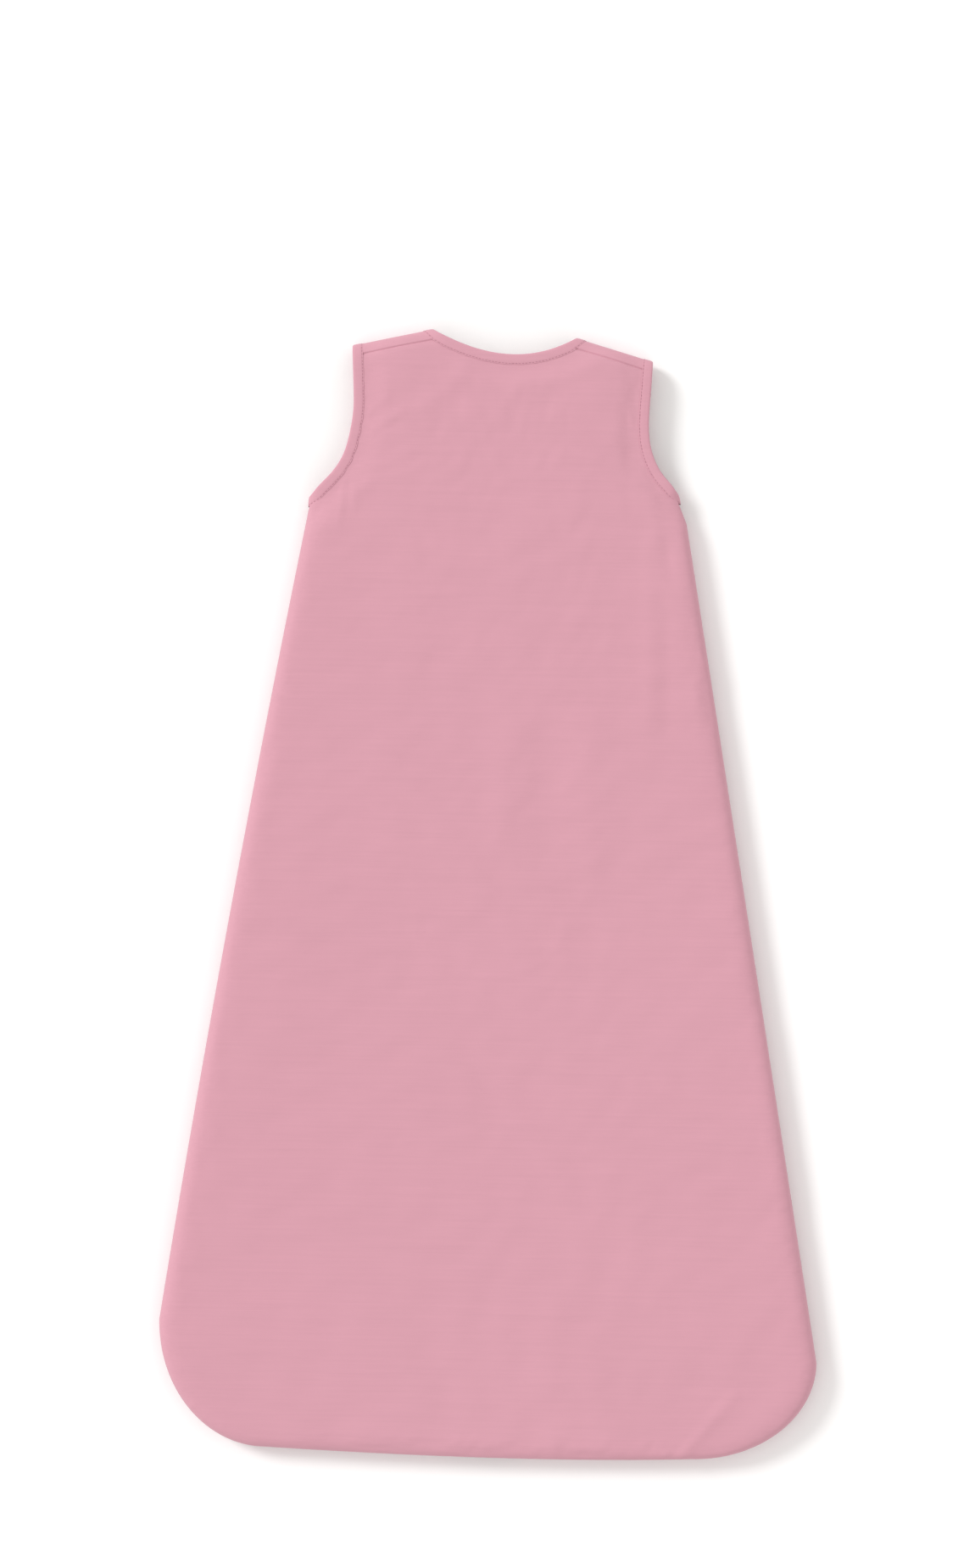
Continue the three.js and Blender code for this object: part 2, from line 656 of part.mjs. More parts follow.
function addChinTab() {
  const low = TAB.low;
  const high = low + TAB.thickness;
  const free = sample((t) => [
    TAB.right - TAB_ROUND + TAB_ROUND * Math.sin(t * Math.PI / 2),
    TAB.bottom + TAB_ROUND - TAB_ROUND * Math.cos(t * Math.PI / 2),
  ], 4);
  const freeTop = free.map(([x, y]) => [x, TAB.bottom + TAB.top - y]).reverse();
  const shape = outline([[TAB.left, TAB.bottom], ...free, ...freeTop, [TAB.left, TAB.top]]);
  add('chin_tab', extrude(shape, TAB.thickness).translate(0, 0, low), cotton);
  const panelFace = ZIP_HEIGHT - ZIP_PANEL / 2;
  const baseRight = TAB.left - TAB_BASE.clear;
  const base = box(baseRight - TAB_BASE.width, baseRight, TAB.bottom, TAB.top, high + GAP, panelFace - GAP);
  add('chin_tab_base', base, cotton);
  addSnap(low, high, panelFace);
}

// The snap's cap and socket are on the tab, its stud and back on the panel. Profiles give radius and height.
function addSnap(low, high, panelFace) {
  const { radius, inner } = SNAP;
  const bottom = high + GAP;
  const liningFace = ZIP_HEIGHT + ZIP_PANEL / 2 + GAP;
  const profiles = {
    snap_cap: [[0, 1.0], [2.6, 1.1], [inner, 1.5], [radius, low - GAP], [0, low - GAP]],
    snap_socket: [
      [1.9, bottom], [inner, bottom], [inner, high + 0.7],
      [3, high + 1], [1.9, high + 1], [1.9, bottom],
    ],
    snap_stud: [
      [0, high + 0.5], [1.1, high + 0.6], [1.3, high + 1.0], [1.1, high + 1.3],
      [inner, high + 1.4], [inner, panelFace - GAP], [0, panelFace - GAP],
    ],
    snap_back: [[0, liningFace], [inner, liningFace], [inner - 0.3, liningFace + 0.6], [0, liningFace + 0.7]],
  };
  for (const [name, profile] of Object.entries(profiles)) add(name, turned(profile, SNAP.x, SNAP.y), nickel);
}

// A blank ribbon label whose upper face is at the height given.
function addLabel(name, { left: x0, right: x1, bottom, top }, height) {
  add(name, box(x0, x1, bottom, top, height - RIBBON, height), ribbon);
}

function addInside() {
  const guardLow = ZIP_HEIGHT + SLIDER.gap / 2 + SLIDER.plate + GUARD.clear;
  const guardHigh = guardLow + GUARD.thickness;
  const guard = box(GUARD.left, GUARD.right, COIL.bottom + 6, TAPE.top - 3, guardLow, guardHigh);
  add('zip_guard', guard, liningCotton);
  addLabel('size_label', SIZE_LABEL, BACK_HEIGHT - PANEL - GAP);
  addLabel('care_label', CARE_LABEL, SEAM_HEIGHT);
}

addBack();
addFront(left, 'front_left');
addFront(right, 'front_right');
addNeckBinding();
addArmholeBinding(left, 'armhole_binding_left');
addArmholeBinding(right, 'armhole_binding_right');
addZipHalf(left, 'left');
addZipHalf(right, 'right');
addSlider('upper', UPPER_SLIDER_Y, 1);
addSlider('lower', LOWER_SLIDER_Y, -1);
addChinTab();
addInside();

// The origin is under the middle of the bag, on the floor.
const extent = new THREE.Box3().setFromObject(bag);
const centre = extent.getCenter(new THREE.Vector3());
bag.position.set(-centre.x, -centre.y, -extent.min.z);

export default bag;
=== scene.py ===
"""A baby's sleeveless, padded sleeping bag, laid flat on its front.

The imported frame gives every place. Shapes are worked out in millimetres, in the plan of the bag as it lies,
and become metres when a mesh is made.
"""

import math

import bmesh
import bpy
import numpy as np
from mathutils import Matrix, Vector


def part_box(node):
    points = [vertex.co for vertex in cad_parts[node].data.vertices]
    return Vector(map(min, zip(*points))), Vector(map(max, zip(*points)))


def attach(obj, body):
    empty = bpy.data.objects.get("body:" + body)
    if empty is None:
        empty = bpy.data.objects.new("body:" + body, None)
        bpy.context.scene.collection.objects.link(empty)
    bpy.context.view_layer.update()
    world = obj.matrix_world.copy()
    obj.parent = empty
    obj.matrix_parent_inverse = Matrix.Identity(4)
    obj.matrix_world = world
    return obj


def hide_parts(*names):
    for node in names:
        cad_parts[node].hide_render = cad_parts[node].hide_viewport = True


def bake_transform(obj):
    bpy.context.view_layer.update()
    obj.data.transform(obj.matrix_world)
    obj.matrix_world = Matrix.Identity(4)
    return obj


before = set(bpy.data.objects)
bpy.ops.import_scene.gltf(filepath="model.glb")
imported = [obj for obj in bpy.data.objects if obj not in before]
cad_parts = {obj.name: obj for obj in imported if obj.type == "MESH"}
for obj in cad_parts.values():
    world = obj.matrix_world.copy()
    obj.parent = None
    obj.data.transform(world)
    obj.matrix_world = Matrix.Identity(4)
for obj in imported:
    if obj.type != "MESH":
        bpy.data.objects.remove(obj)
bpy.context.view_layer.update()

MM = 0.001

# ---------- Sizes, in millimetres ----------

CLOTH = 0.5
CLEAR = 0.08  # between layers that lie on each other
PANEL = 6.6  # lining, wadding and outer together, away from any edge
SEWN = 2.0  # the same layers in the side seams
BOUND = 1.8  # and under a binding
SEAM_HEIGHT = 11.0
SEAM_TOLERANCE = 0.1  # anything closer than this to a seam lies on it
SEAM_DITCH, DITCH_HALF = 0.8, 1.3  # how far the shoulder seam sinks in, and half of its width
SHOULDER_LAP = 1.5  # the back runs this far under the edge of the front's wrap
BACK_HEIGHT = 26.0
EDGE_ROUNDING = 22.0  # how far in from a seam the bag reaches its full height
FULLNESS = 3.3  # of the rounded edge: 2 is an ellipse, more is fuller
FREE_ROUNDING = 20.0  # how far in from a binding the padding reaches its full thickness
FREE_SLOPE = 48.0  # how far in from a binding the panel rises to its full height
BACK_EDGE_HEIGHT = 21.8
FRONT_EDGE_HEIGHT = 2.4

BINDING_WIDTH = 8.5
BINDING_HALF = 1.4  # half of a binding's thickness
BINDING_CLOTH = 0.6
TUCK = 2.5  # the outer cloth's edge lies this far inside the bindings' outer edges
LINING_TUCK = 3.5
WADDING_TUCK = 7.0
STITCH_INSET = 1.0  # of the topstitching, from a binding's inner edge
STITCH_PITCH = 2.6
STITCH_PLACES = np.array([-0.95, -0.6, 0, 0.6, 0.95])  # along one stitch, from its middle
THREAD_RADIUS, THREAD_SIDES = 0.2, 6
BINDING_RISE = 0.6  # steepest slope across a binding
FRONT_NECK_DROP = 62.0
SHOULDER_WRAP = 9.0  # the front reaches this far over the shoulder, to the seam on the back
WRAP_ROLL_END = 1.4  # the wrap's even rows stop this far before its edge
WRAP_END = np.array([1.2, 0.8, 0.45, 0.2, 0])  # and these rows follow
FLOOR_CLEAR = 0.05  # lowest point of the front

ZIP_HEIGHT = 6.9
ZIP_EDGE = 8.0  # folded edge of each front panel beside the coil
ZIP_PANEL = 2.4  # thickness of the front beside the zip
VALLEY_HALF = 16.0  # strip of the front that the zip lifts off the floor
VALLEY_WIDTH = 22.0
TAB_VALLEY = 12.0  # the strip is this much wider behind the chin tab,
TAB_VALLEY_FROM, TAB_VALLEY_RUN = 300, 40  # from this height up, within this distance
ZIP_STITCH_X, ZIP_STITCHES = 10.8, (-425.0, 372.0)
TAPE_OUTER, TAPE_INNER, TAPE_TOP, TAPE_BOTTOM = 14.0, 2.2, 374.0, -448.3
TAPE_LOOSE = 4.0  # the tapes' edges inside this close together below the coil
TAPE_THICKNESS, TAPE_DEPTH = 0.55, 0.3
COIL_TOP, COIL_BOTTOM, COIL_PITCH = 366.0, -404.0, 1.5
COIL_END, COIL_MIDDLE, COIL_REACH, COIL_RISE, COIL_WIRE = 0.8, 1.25, 1.45, 0.72, 0.34
UPPER_SLIDER_Y = 351.0

# Cloth as it was cut, with 10 mm seam allowances: flat size in metres.
GUARD_CUT = {"flat": (0.028, 0.77)}
SIZE_LABEL_CUT = {"flat": (0.024, 0.023)}
CARE_LABEL_CUT = {"flat": (0.030, 0.042)}

# Slack cloth: how the outer cloth is simulated over its padding.
SLACK_STEP = 7.5  # between the points of the coarse grids that are simulated
SLACK_UNEVENNESS = 0.05
SLACK_FADE, RELIEF_FADE = 6, 2.5  # distances from a seam within which both come to nothing
CLOTH_GOAL = 0.25
CLOTH_FRAMES = 18
CLOTH_CAP = 0.7
CLOTH_SHARE = 0.75  # of its relief is kept: the photograph shows smooth cloth
SLACK_SMOOTHING = 4
CLOTH_SETTINGS = {
    "quality": 6, "mass": 0.12, "tension_stiffness": 30, "compression_stiffness": 20, "shear_stiffness": 8,
    "bending_stiffness": 0.6, "air_damping": 2.0, "shrink_min": -0.012, "pin_stiffness": 0.35,
    "use_pressure": True, "uniform_pressure_force": 0.25,
}

# The outline as the bag lies, one side a little fuller than the other.
LEFT = {
    "neck": (-59.6, 450), "shoulder": (-123, 436),
    "armhole": (
        (-121.4, 402), (-121, 386), (-123.4, 367.5), (-128.4, 348.6), (-137.6, 333.8), (-148.4, 322.9),
    ),
    "underarm": (-155.4, 313.4), "body": (-156.2, 302), "bulge": 3.4,
    "corner_top": (-263.2, -343), "corner_end": (-177.5, -443.4),
}
RIGHT = {
    "neck": (56, 445), "shoulder": (116.9, 427.3),
    "armhole": ((115.6, 404), (114.4, 384), (114.6, 368), (117.8, 352.5), (125.3, 337.4), (133.6, 329)),
    "underarm": (139.6, 319.5), "body": (146.4, 297.2), "bulge": 0.2,
    "corner_top": (262, -369), "corner_end": (163.8, -447.3),
}
BACK_NECK_LOW = (1.7, 430.7)
HEM_LOW = (10, -449.2)

slider_low, slider_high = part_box("upper_slider_body")
slider_middle = (slider_low + slider_high) / 2 / MM
LAY_OFFSET = np.array([slider_middle.x, slider_middle.y - UPPER_SLIDER_Y, 0.0])

# ---------- Curves in the plan: each is a function of an array of 0..1 ----------


def ease(t):
    t = np.clip(t, 0, 1)
    return t * t * (3 - 2 * t)


def mix(a, b, t):
    return a + (b - a) * t


def flat(t):
    return np.asarray(t, float).reshape(-1)


def column(t):
    return flat(t)[:, None]


def unit(vectors):
    return vectors / np.linalg.norm(vectors, axis=1, keepdims=True)


def sampled(places, known, values):
    """Rows of values that belong to known places, read at other places."""
    return np.stack([np.interp(places, known, one) for one in values.T], axis=1)


def milestones(points):
    """How far along a polyline each of its points is."""
    return np.concatenate([[0], np.cumsum(np.linalg.norm(np.diff(points, axis=0), axis=1))])


def line(a, b):
    a, b = np.array(a, float), np.array(b, float)
    return lambda t: a + (b - a) * column(t)


def bow(a, middle, b):
    """A gently bowed line from a to b through a middle point."""
    a, middle, b = (np.array(p, float) for p in (a, middle, b))
    control = 2 * middle - (a + b) / 2

    def at(t):
        t = column(t)
        return a * (1 - t) ** 2 + control * 2 * t * (1 - t) + b * t**2

    return at


def spline(points):
    """A smooth curve through the points."""
    p = np.array(points, float)

    def at(t):
        place = np.clip(np.asarray(t, float), 0, 1) * (len(p) - 1)
        k = np.minimum(place.astype(int), len(p) - 2)
        s = column(place - k)
        before, a, b, after = p[np.maximum(k - 1, 0)], p[k], p[k + 1], p[np.minimum(k + 2, len(p) - 1)]
        slope_a, slope_b = (b - before) / 2, (after - a) / 2
        cubic = (2 * a - 2 * b + slope_a + slope_b) * s**3
        return cubic + (3 * b - 3 * a - 2 * slope_a - slope_b) * s**2 + slope_a * s + a

    return at


def chain(breaks, curves):
    """One curve after another, changing over at the breaks."""

    def at(t):
        t = flat(t)
        out = np.zeros((len(t), 2))
        which = np.clip(np.searchsorted(breaks, t, side="left") - 1, 0, len(curves) - 1)
        for k, curve in enumerate(curves):
            here = which == k
            if here.any():
                out[here] = curve(np.clip((t[here] - breaks[k]) / (breaks[k + 1] - breaks[k]), 0, 1))
        return out

    return at


def even(curve):
    """The same curve, followed at an even pace."""
    t = np.linspace(0, 1, 600)
    length = milestones(curve(t))
    return lambda s: curve(np.interp(flat(s), length / length[-1], t))


def smoothed(values, passes):
    """Rows of values eased along their length, with both ends kept."""
    for _ in range(passes):
        values = values.copy()
        values[1:-1] = (values[:-2] + 2 * values[1:-1] + values[2:]) / 4
    return values


def rounded(curve):
    """The same curve at an even pace, with its bends eased."""
    t = np.linspace(0, 1, 400)
    points = smoothed(even(curve)(t), 500)
    return even(lambda s: sampled(flat(s), t, points))


def length_of(curve):
    return np.linalg.norm(np.diff(curve(np.linspace(0, 1, 400)), axis=0), axis=1).sum()


NUDGE = 0.002


def onwards(curve, t):
    """How far the curve goes from a little before t to a little after."""
    return curve(np.clip(t + NUDGE, 0, 1)) - curve(np.clip(t - NUDGE, 0, 1))


def across(curve, t):
    """Unit direction across the curve, to its right as it is followed."""
    d = unit(onwards(curve, flat(t)))
    return np.stack([d[:, 1], -d[:, 0]], axis=1)


def inset(curve, sign, by):
    return lambda t: curve(t) + across(curve, t) * sign * by


def nearest(points, lines):
    """Distance from each point to several polylines, and the nearest place on them."""
    best, place = np.full(len(points), np.inf), np.zeros((len(points), 2))
    for poly in lines:
        for a, b in zip(poly[:-1], poly[1:]):
            ab = b - a
            t = np.clip(((points - a) @ ab) / max(ab @ ab, 1e-6), 0, 1)
            foot = a + t[:, None] * ab
            d = np.linalg.norm(points - foot, axis=1)
            closer = d < best
            best[closer], place[closer] = d[closer], foot[closer]
    return best, place


def distance(points, lines):
    return nearest(points, lines)[0]


# ---------- Outline ----------

SIDE_BREAKS = (0, 0.085, 0.84, 0.852, 1)


class Side:
    """One side of the outline, from the middle of its bottom corner up to the shoulder."""

    def __init__(self, d):
        self.sign = math.copysign(1, d["neck"][0])
        self.neck, self.shoulder = np.array(d["neck"], float), np.array(d["shoulder"], float)
        self.underarm, self.body = np.array(d["underarm"], float), np.array(d["body"], float)
        top, end = np.array(d["corner_top"], float), np.array(d["corner_end"], float)
        radius = np.abs(top - end)

        def corner(angle):
            x = end[0] + self.sign * radius[0] * np.cos(angle)
            return np.stack([x, top[1] - radius[1] * np.sin(angle)], axis=1)

        self.corner_up = lambda t: corner((1 - np.asarray(t)) * math.pi / 4)
        self.corner_down = lambda t: corner((1 + np.asarray(t)) * math.pi / 4)
        self.corner_end = end
        self.flank = bow(top, (top + self.body) / 2 + np.array([self.sign * d["bulge"], 0]), self.body)
        self.armhole = rounded(spline([self.underarm, *d["armhole"][::-1], self.shoulder]))
        self.along = (self.neck - self.shoulder) / np.linalg.norm(self.neck - self.shoulder)
        self.down = (self.body - self.underarm) / np.linalg.norm(self.body - self.underarm)
        steps = np.linspace(0, 1, 30)
        self.sewn = np.concatenate([
            [self.underarm], self.flank(steps)[::-1], self.corner_up(steps)[::-1], self.corner_down(steps),
        ])

    def edge(self, lap, by, tuck):
        """A layer's side: in from the seams, into the armhole binding, up to its lap from the shoulder."""
        armhole = shoulder_part(inset(self.armhole, -self.sign, tuck), self, lap, at_end=True)
        up, flank = (inset(curve, -self.sign, by) for curve in (even(self.corner_up), self.flank))
        step = line(flank([1.0])[0], armhole([0.0])[0])
        return chain(SIDE_BREAKS, [up, flank, step, armhole])

    def foot(self, by):
        """The bottom corner, from its middle to the hem."""
        return inset(even(self.corner_down), self.sign, by)


def longer(curve):
    """The same curve, carried straight on a little beyond its ends."""

    def at(t):
        inside = np.clip(flat(t), 0, 1)
        return curve(inside) + onwards(curve, inside) / NUDGE * column(flat(t) - inside)

    return at


def shoulder_part(curve, side, lap, at_end=False):
    """The curve, begun (or ended) at lap below the side's shoulder line."""
    whole = longer(curve)
    t = np.linspace(-0.08, 0.5, 3000)
    outward = np.array([-side.along[1], side.along[0]])
    outward *= np.sign(outward[1])
    below = (side.neck - whole(1 - t if at_end else t)) @ outward
    start = t[np.argmax(below > lap)]
    if at_end:
        return lambda s: whole(np.asarray(s) * (1 - start))
    return lambda s: whole(start + np.asarray(s) * (1 - start))


left, right = Side(LEFT), Side(RIGHT)
hem = bow(left.corner_end, HEM_LOW, right.corner_end)
back_neck = even(bow(left.neck, BACK_NECK_LOW, right.neck))


def front_neck(side):
    """Half of the front neckline: a quarter ellipse from a neck point down to the zip."""
    half_width = abs(side.neck[0])
    low = math.acos(ZIP_EDGE / half_width)

    def at(t):
        angle = flat(t) * low
        x, drop = side.sign * half_width * np.cos(angle), FRONT_NECK_DROP * np.sin(angle)
        return np.stack([x, side.neck[1] - drop], axis=1)

    return even(at)


fine = np.linspace(0, 1, 40)
side_lines = [left.sewn, hem(fine), right.sewn]
shoulder_lines = [np.array([left.neck, left.shoulder]), np.array([right.neck, right.shoulder])]
sewn_lines = side_lines + shoulder_lines
armhole_lines = [left.armhole(fine), right.armhole(fine)]
back_free = armhole_lines + [back_neck(fine)]
front_free = armhole_lines + [front_neck(left)(fine), front_neck(right)(fine)]

# ---------- Heights over the plan ----------


def quarter_round(d, reach):
    """0 at an edge, rising to 1 at reach as a quarter circle does."""
    s = 1 - np.clip(d / reach, 0, 1)
    return np.sqrt(1 - s * s)


class Bed:
    """Places in one panel's plan, and how high its faces lie there. Up is 1 on the back, -1 on the front."""

    def __init__(self, plan, up):
        self.plan, self.up = plan, up
        self.free = distance(plan, back_free if up > 0 else front_free)
        self.seam = np.maximum(distance(plan, sewn_lines) - SEAM_TOLERANCE, 0)
        off_binding = self.free - BINDING_WIDTH
        full = ease(off_binding / FREE_ROUNDING)
        slope = ease(off_binding / FREE_SLOPE)
        half = mix(BOUND, PANEL, full) / 2
        if up > 0:
            face = mix(BACK_EDGE_HEIGHT, BACK_HEIGHT - PANEL / 2, slope) + half
        else:
            wide = VALLEY_HALF + TAB_VALLEY * ease((plan[:, 1] - TAB_VALLEY_FROM) / TAB_VALLEY_RUN)
            lift = 1 - ease((np.abs(plan[:, 0]) - wide) / VALLEY_WIDTH)
            half = mix(half, ZIP_PANEL / 2, lift)
            face = mix(mix(FRONT_EDGE_HEIGHT, PANEL / 2, slope), ZIP_HEIGHT, lift) - half
        self.rise = np.abs(face - SEAM_HEIGHT)
        self.thick = mix(SEWN, 2 * half, quarter_round(self.seam, EDGE_ROUNDING))

    def points(self, depth=0.0):
        """The panel's surface at a depth below its outer face."""
        s = np.clip((EDGE_ROUNDING - self.seam) / (EDGE_ROUNDING - depth), 0, 1)
        share = (1 - s**FULLNESS) ** (1 / FULLNESS)
        return np.column_stack([self.plan, SEAM_HEIGHT + self.up * (self.rise - depth) * share])

    def calm(self, reach=5.0):
        """0 under the bindings, rising to 1 a little way in from them."""
        return ease((self.free - BINDING_WIDTH) / reach)

    def inside(self):
        """0 at the seams and bindings, rising to 1 well in from them."""
        return ease(self.seam / EDGE_ROUNDING) * self.calm(16)


# ---------- Folds and puckers ----------

# Soft folds of the back: start, end, half width, height (a hollow where negative).
BACK_FOLDS = [
    ((-110, 380), (-92, 397), 1.4, 0.45), ((-107, 368), (-80, 385), 2.4, 0.5),
    ((-80, 385), (-63, 388), 2.4, 0.3), ((-104, 362), (-84, 376), 2.0, -0.35),
    ((-127, 330), (-131, 290), 1.8, 0.5), ((-120, 331), (-118, 304), 1.8, 0.4),
    ((-124, 326), (-126, 300), 1.5, -0.35),
    ((-29, 423), (-66, 380), 5.0, 0.6), ((29, 417), (-12, 388), 5.0, 0.5),
    ((65, 310), (-3, 281), 7.0, 0.4), ((85, 413), (89, 396), 3.0, -0.25),
    ((98, 384), (103, 376), 1.2, 0.3), ((97, 372), (101, 300), 3.5, -0.35),
    ((112, 337), (134, 229), 4.0, 0.5), ((116, 290), (119, 130), 5.0, 0.5),
    ((130, 285), (133, 130), 4.0, -0.5), ((157, 196), (165, 182), 1.6, 0.6),
    ((10, 150), (2, 40), 10.0, 0.8), ((40, 158), (36, 30), 9.0, -0.7),
    ((72, 150), (78, 20), 10.0, 0.8), ((216, -90), (236, -235), 9.0, 0.7),
    ((153, -446), (198, -392), 3.2, 0.9), ((-20, -250), (60, -330), 14.0, 0.5),
    ((-150, 60), (-176, -120), 13.0, 0.5), ((-60, 250), (-95, 60), 14.0, 0.6),
]
# The top of an oval crease in the middle of the back.
ARC_CENTRE, ARC_RADII, ARC_HEIGHT, ARC_WIDTH, ARC_END = (-5.7, -23.8), (59.0, 41.0), 0.3, 0.05, 0.6

# Smooth unevenness: height, wavelength, number of waves, seed.
BACK_SWELLS = ((0.4, 120, 7, 3), (0.2, 46, 9, 4), (0.06, 17, 12, 5))
FRONT_SWELLS = ((0.35, 90, 8, 23), (0.15, 34, 9, 24))

# Puckers of the hem, the left seam and the right seam: spacing, reach, height, lean, seed.
BACK_PUCKERS = ((8.5, 21, 0.5, 0.75, 11), (13, 13, 0.3, 0.2, 12), (13, 14, 0.35, -0.2, 13))
FRONT_PUCKERS = ((10, 20, 0.45, 0.5, 31), (13, 13, 0.3, 0.2, 32), (13, 14, 0.3, -0.2, 33))
ARMHOLE_PUCKERS = {"spacing": 9, "reach": 11, "lean": 0.1, "seed": 14}
ARMHOLE_PUCKER_HEIGHT = 0.28


def ridge(p, start, end, width, height):
    """A soft ridge along a line, fading at both ends."""
    a, b = np.array(start, float), np.array(end, float)
    length = np.linalg.norm(b - a)
    d = (b - a) / length
    along = (p - a) @ d
    aside = (p - a) @ np.array([-d[1], d[0]])
    fade = ease((along + width) / (2 * width)) * ease((length + width - along) / (2 * width))
    return height * np.exp(-0.5 * (aside / width) ** 2) * fade


def swell(p, wavelength, count, seed):
    """Smooth unevenness of about that wavelength, from -1 to 1."""
    random = np.random.default_rng(seed)
    out = np.zeros(len(p))
    for _ in range(count):
        angle, phase = random.uniform(0, 2 * math.pi, 2)
        k = 2 * math.pi / (wavelength * random.uniform(0.7, 1.5))
        out += np.sin(k * (p[:, 0] * math.cos(angle) + p[:, 1] * math.sin(angle)) + phase)
    return out / math.sqrt(count) / 1.5


def puckers(p, curve, spacing, reach, height, lean, seed):
    """Short ridges that start at a seam and lean to one side as they go in."""
    random = np.random.default_rng(seed)
    out = np.zeros(len(p))
    total = length_of(curve)
    place = spacing * random.uniform(0.3, 1.0)
    while place < total - spacing * 0.3:
        t = [place / total]
        start = curve(t)[0]
        inward = -across(curve, t)[0]
        tangent = np.array([inward[1], -inward[0]])
        size = reach * random.uniform(0.45, 1.3)
        d = inward + tangent * (lean + random.uniform(-0.3, 0.3))
        end = start + d / np.linalg.norm(d) * size
        out += ridge(p, start - d, end, random.uniform(0.8, 1.7), height * random.uniform(0.4, 1.2))
        place += spacing * random.uniform(0.5, 1.5)
    return out


def whole_edge(side):
    """A side seam followed from the underarm down, or back up on the right."""
    points = side.sewn[1:] if side.sign < 0 else side.sewn[1:][::-1]
    return even(spline(points[::3]))


def uneven(bed, swells, folds, seam_puckers):
    """A panel's unevenness with its folds, and with puckers along the hem and the side seams."""
    out = bed.inside() * sum(height * swell(bed.plan, *waves) for height, *waves in swells)
    for seam, sizes in zip((even(hem), whole_edge(left), whole_edge(right)), seam_puckers):
        folds = folds + puckers(bed.plan, seam, *sizes)
    return out, folds


def back_relief(bed):
    """How far the back stands out or in, over its smooth shape."""
    p = bed.plan
    folds = sum(ridge(p, *fold) for fold in BACK_FOLDS)
    ring = np.linalg.norm((p - np.array(ARC_CENTRE)) / np.array(ARC_RADII), axis=1)
    upper = ease(ARC_END - (p[:, 1] - ARC_CENTRE[1]) / ARC_RADII[1])
    folds += ARC_HEIGHT * np.exp(-0.5 * ((ring - 1) / ARC_WIDTH) ** 2) * upper
    out, folds = uneven(bed, BACK_SWELLS, folds, BACK_PUCKERS)
    for side in (left, right):
        edge = inset(side.armhole, -side.sign, BINDING_WIDTH)
        folds += puckers(p, edge, height=-side.sign * ARMHOLE_PUCKER_HEIGHT, **ARMHOLE_PUCKERS)
    return out + folds * bed.calm()


def front_relief(bed):
    """The same for the front, which is plain beside the zip."""
    out, folds = uneven(bed, FRONT_SWELLS, 0, FRONT_PUCKERS)
    beside_zip = ease((np.abs(bed.plan[:, 0]) - ZIP_EDGE - 3) / 6)
    return (out + folds * bed.calm()) * beside_zip


# ---------- Grids and meshes ----------


def coons(west, east, south, north, u, v):
    """Grid of plan points between four edges."""
    w, e, s, n = west(v)[:, None], east(v)[:, None], south(u)[None], north(u)[None]
    uu, vv = u[None, :, None], v[:, None, None]
    ends = np.array([0.0, 1.0])
    (sw, se), (nw, ne) = south(ends), north(ends)
    sheet = (1 - uu) * w + uu * e + (1 - vv) * s + vv * n
    return sheet - (1 - uu) * (1 - vv) * sw - uu * (1 - vv) * se - (1 - uu) * vv * nw - uu * vv * ne


# Distances from a seam at which the grid has points, close where the padding rolls over it.
ROLL = EDGE_ROUNDING * (1 - np.cos(np.linspace(0, math.pi / 2, 25)))
NO_ROLL = np.array([0, 0.8, 1.8, 3.2])


def steps(length, step, rolls=(True, True), stops=()):
    """Places from 0 to 1 along a grid's side: close where the padding rolls over a seam, even elsewhere."""
    if step >= SLACK_STEP:
        return np.linspace(0, 1, round(length / step) + 1)
    start, end = (ROLL if rolled else NO_ROLL for rolled in rolls)
    count = max(2, round((length - start[-1] - end[-1]) / step))
    middle = np.linspace(start[-1], length - end[-1], count + 1)[1:-1]
    places = np.concatenate([start, middle, length - end[::-1]]) / length
    for stop in stops:
        places[np.argmin(np.abs(places - stop))] = stop
    return places


def quads(rows, columns):
    index = np.arange(rows * columns).reshape(rows, columns)
    a, b, c, d = index[:-1, :-1], index[:-1, 1:], index[1:, 1:], index[1:, :-1]
    return np.stack([a, b, c, d], axis=-1).reshape(-1, 4)


def rim(rows, columns):
    """The grid's border, once round."""
    index = np.arange(rows * columns).reshape(rows, columns)
    return np.concatenate([index[0], index[1:, -1], index[-1, -2::-1], index[-2:0:-1, 0]])


def normals(points, rows, columns, up):
    """Unit normals of a grid of points, on the side that looks up (1) or down (-1)."""
    grid = points.reshape(rows, columns, 3)
    n = np.cross(np.gradient(grid, axis=1), np.gradient(grid, axis=0)).reshape(-1, 3)
    n /= np.linalg.norm(n, axis=1, keepdims=True) + 1e-12
    return n * np.where(np.median(n[:, 2]) * up > 0, 1, -1)


def placed(name, data):
    """A new object in the scene."""
    thing = bpy.data.objects.new(name, data)
    bpy.context.scene.collection.objects.link(thing)
    return thing


def make(name, points, faces, material, slot, stands_for=(), body="bag"):
    """A mesh piece from points in millimetres of the lay, riding on a body."""
    mesh = bpy.data.meshes.new(name)
    places = (np.asarray(points) + LAY_OFFSET) * MM
    mesh.from_pydata(places.tolist(), [], [list(map(int, f)) for f in faces])
    mesh.update()
    mesh.polygons.foreach_set("use_smooth", [True] * len(mesh.polygons))
    piece = placed(name, mesh)
    piece.data.materials.append(material)
    if body:
        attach(piece, body)
    if stands_for:
        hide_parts(*stands_for)
    return piece


def apply(piece, kind, **settings):
    """Adds a modifier and applies it."""
    modifier = piece.modifiers.new(kind.lower(), kind)
    for key, value in settings.items():
        setattr(modifier, key, value)
    bpy.context.view_layer.objects.active = piece
    bpy.context.view_layer.update()
    bpy.ops.object.modifier_apply(modifier=modifier.name)


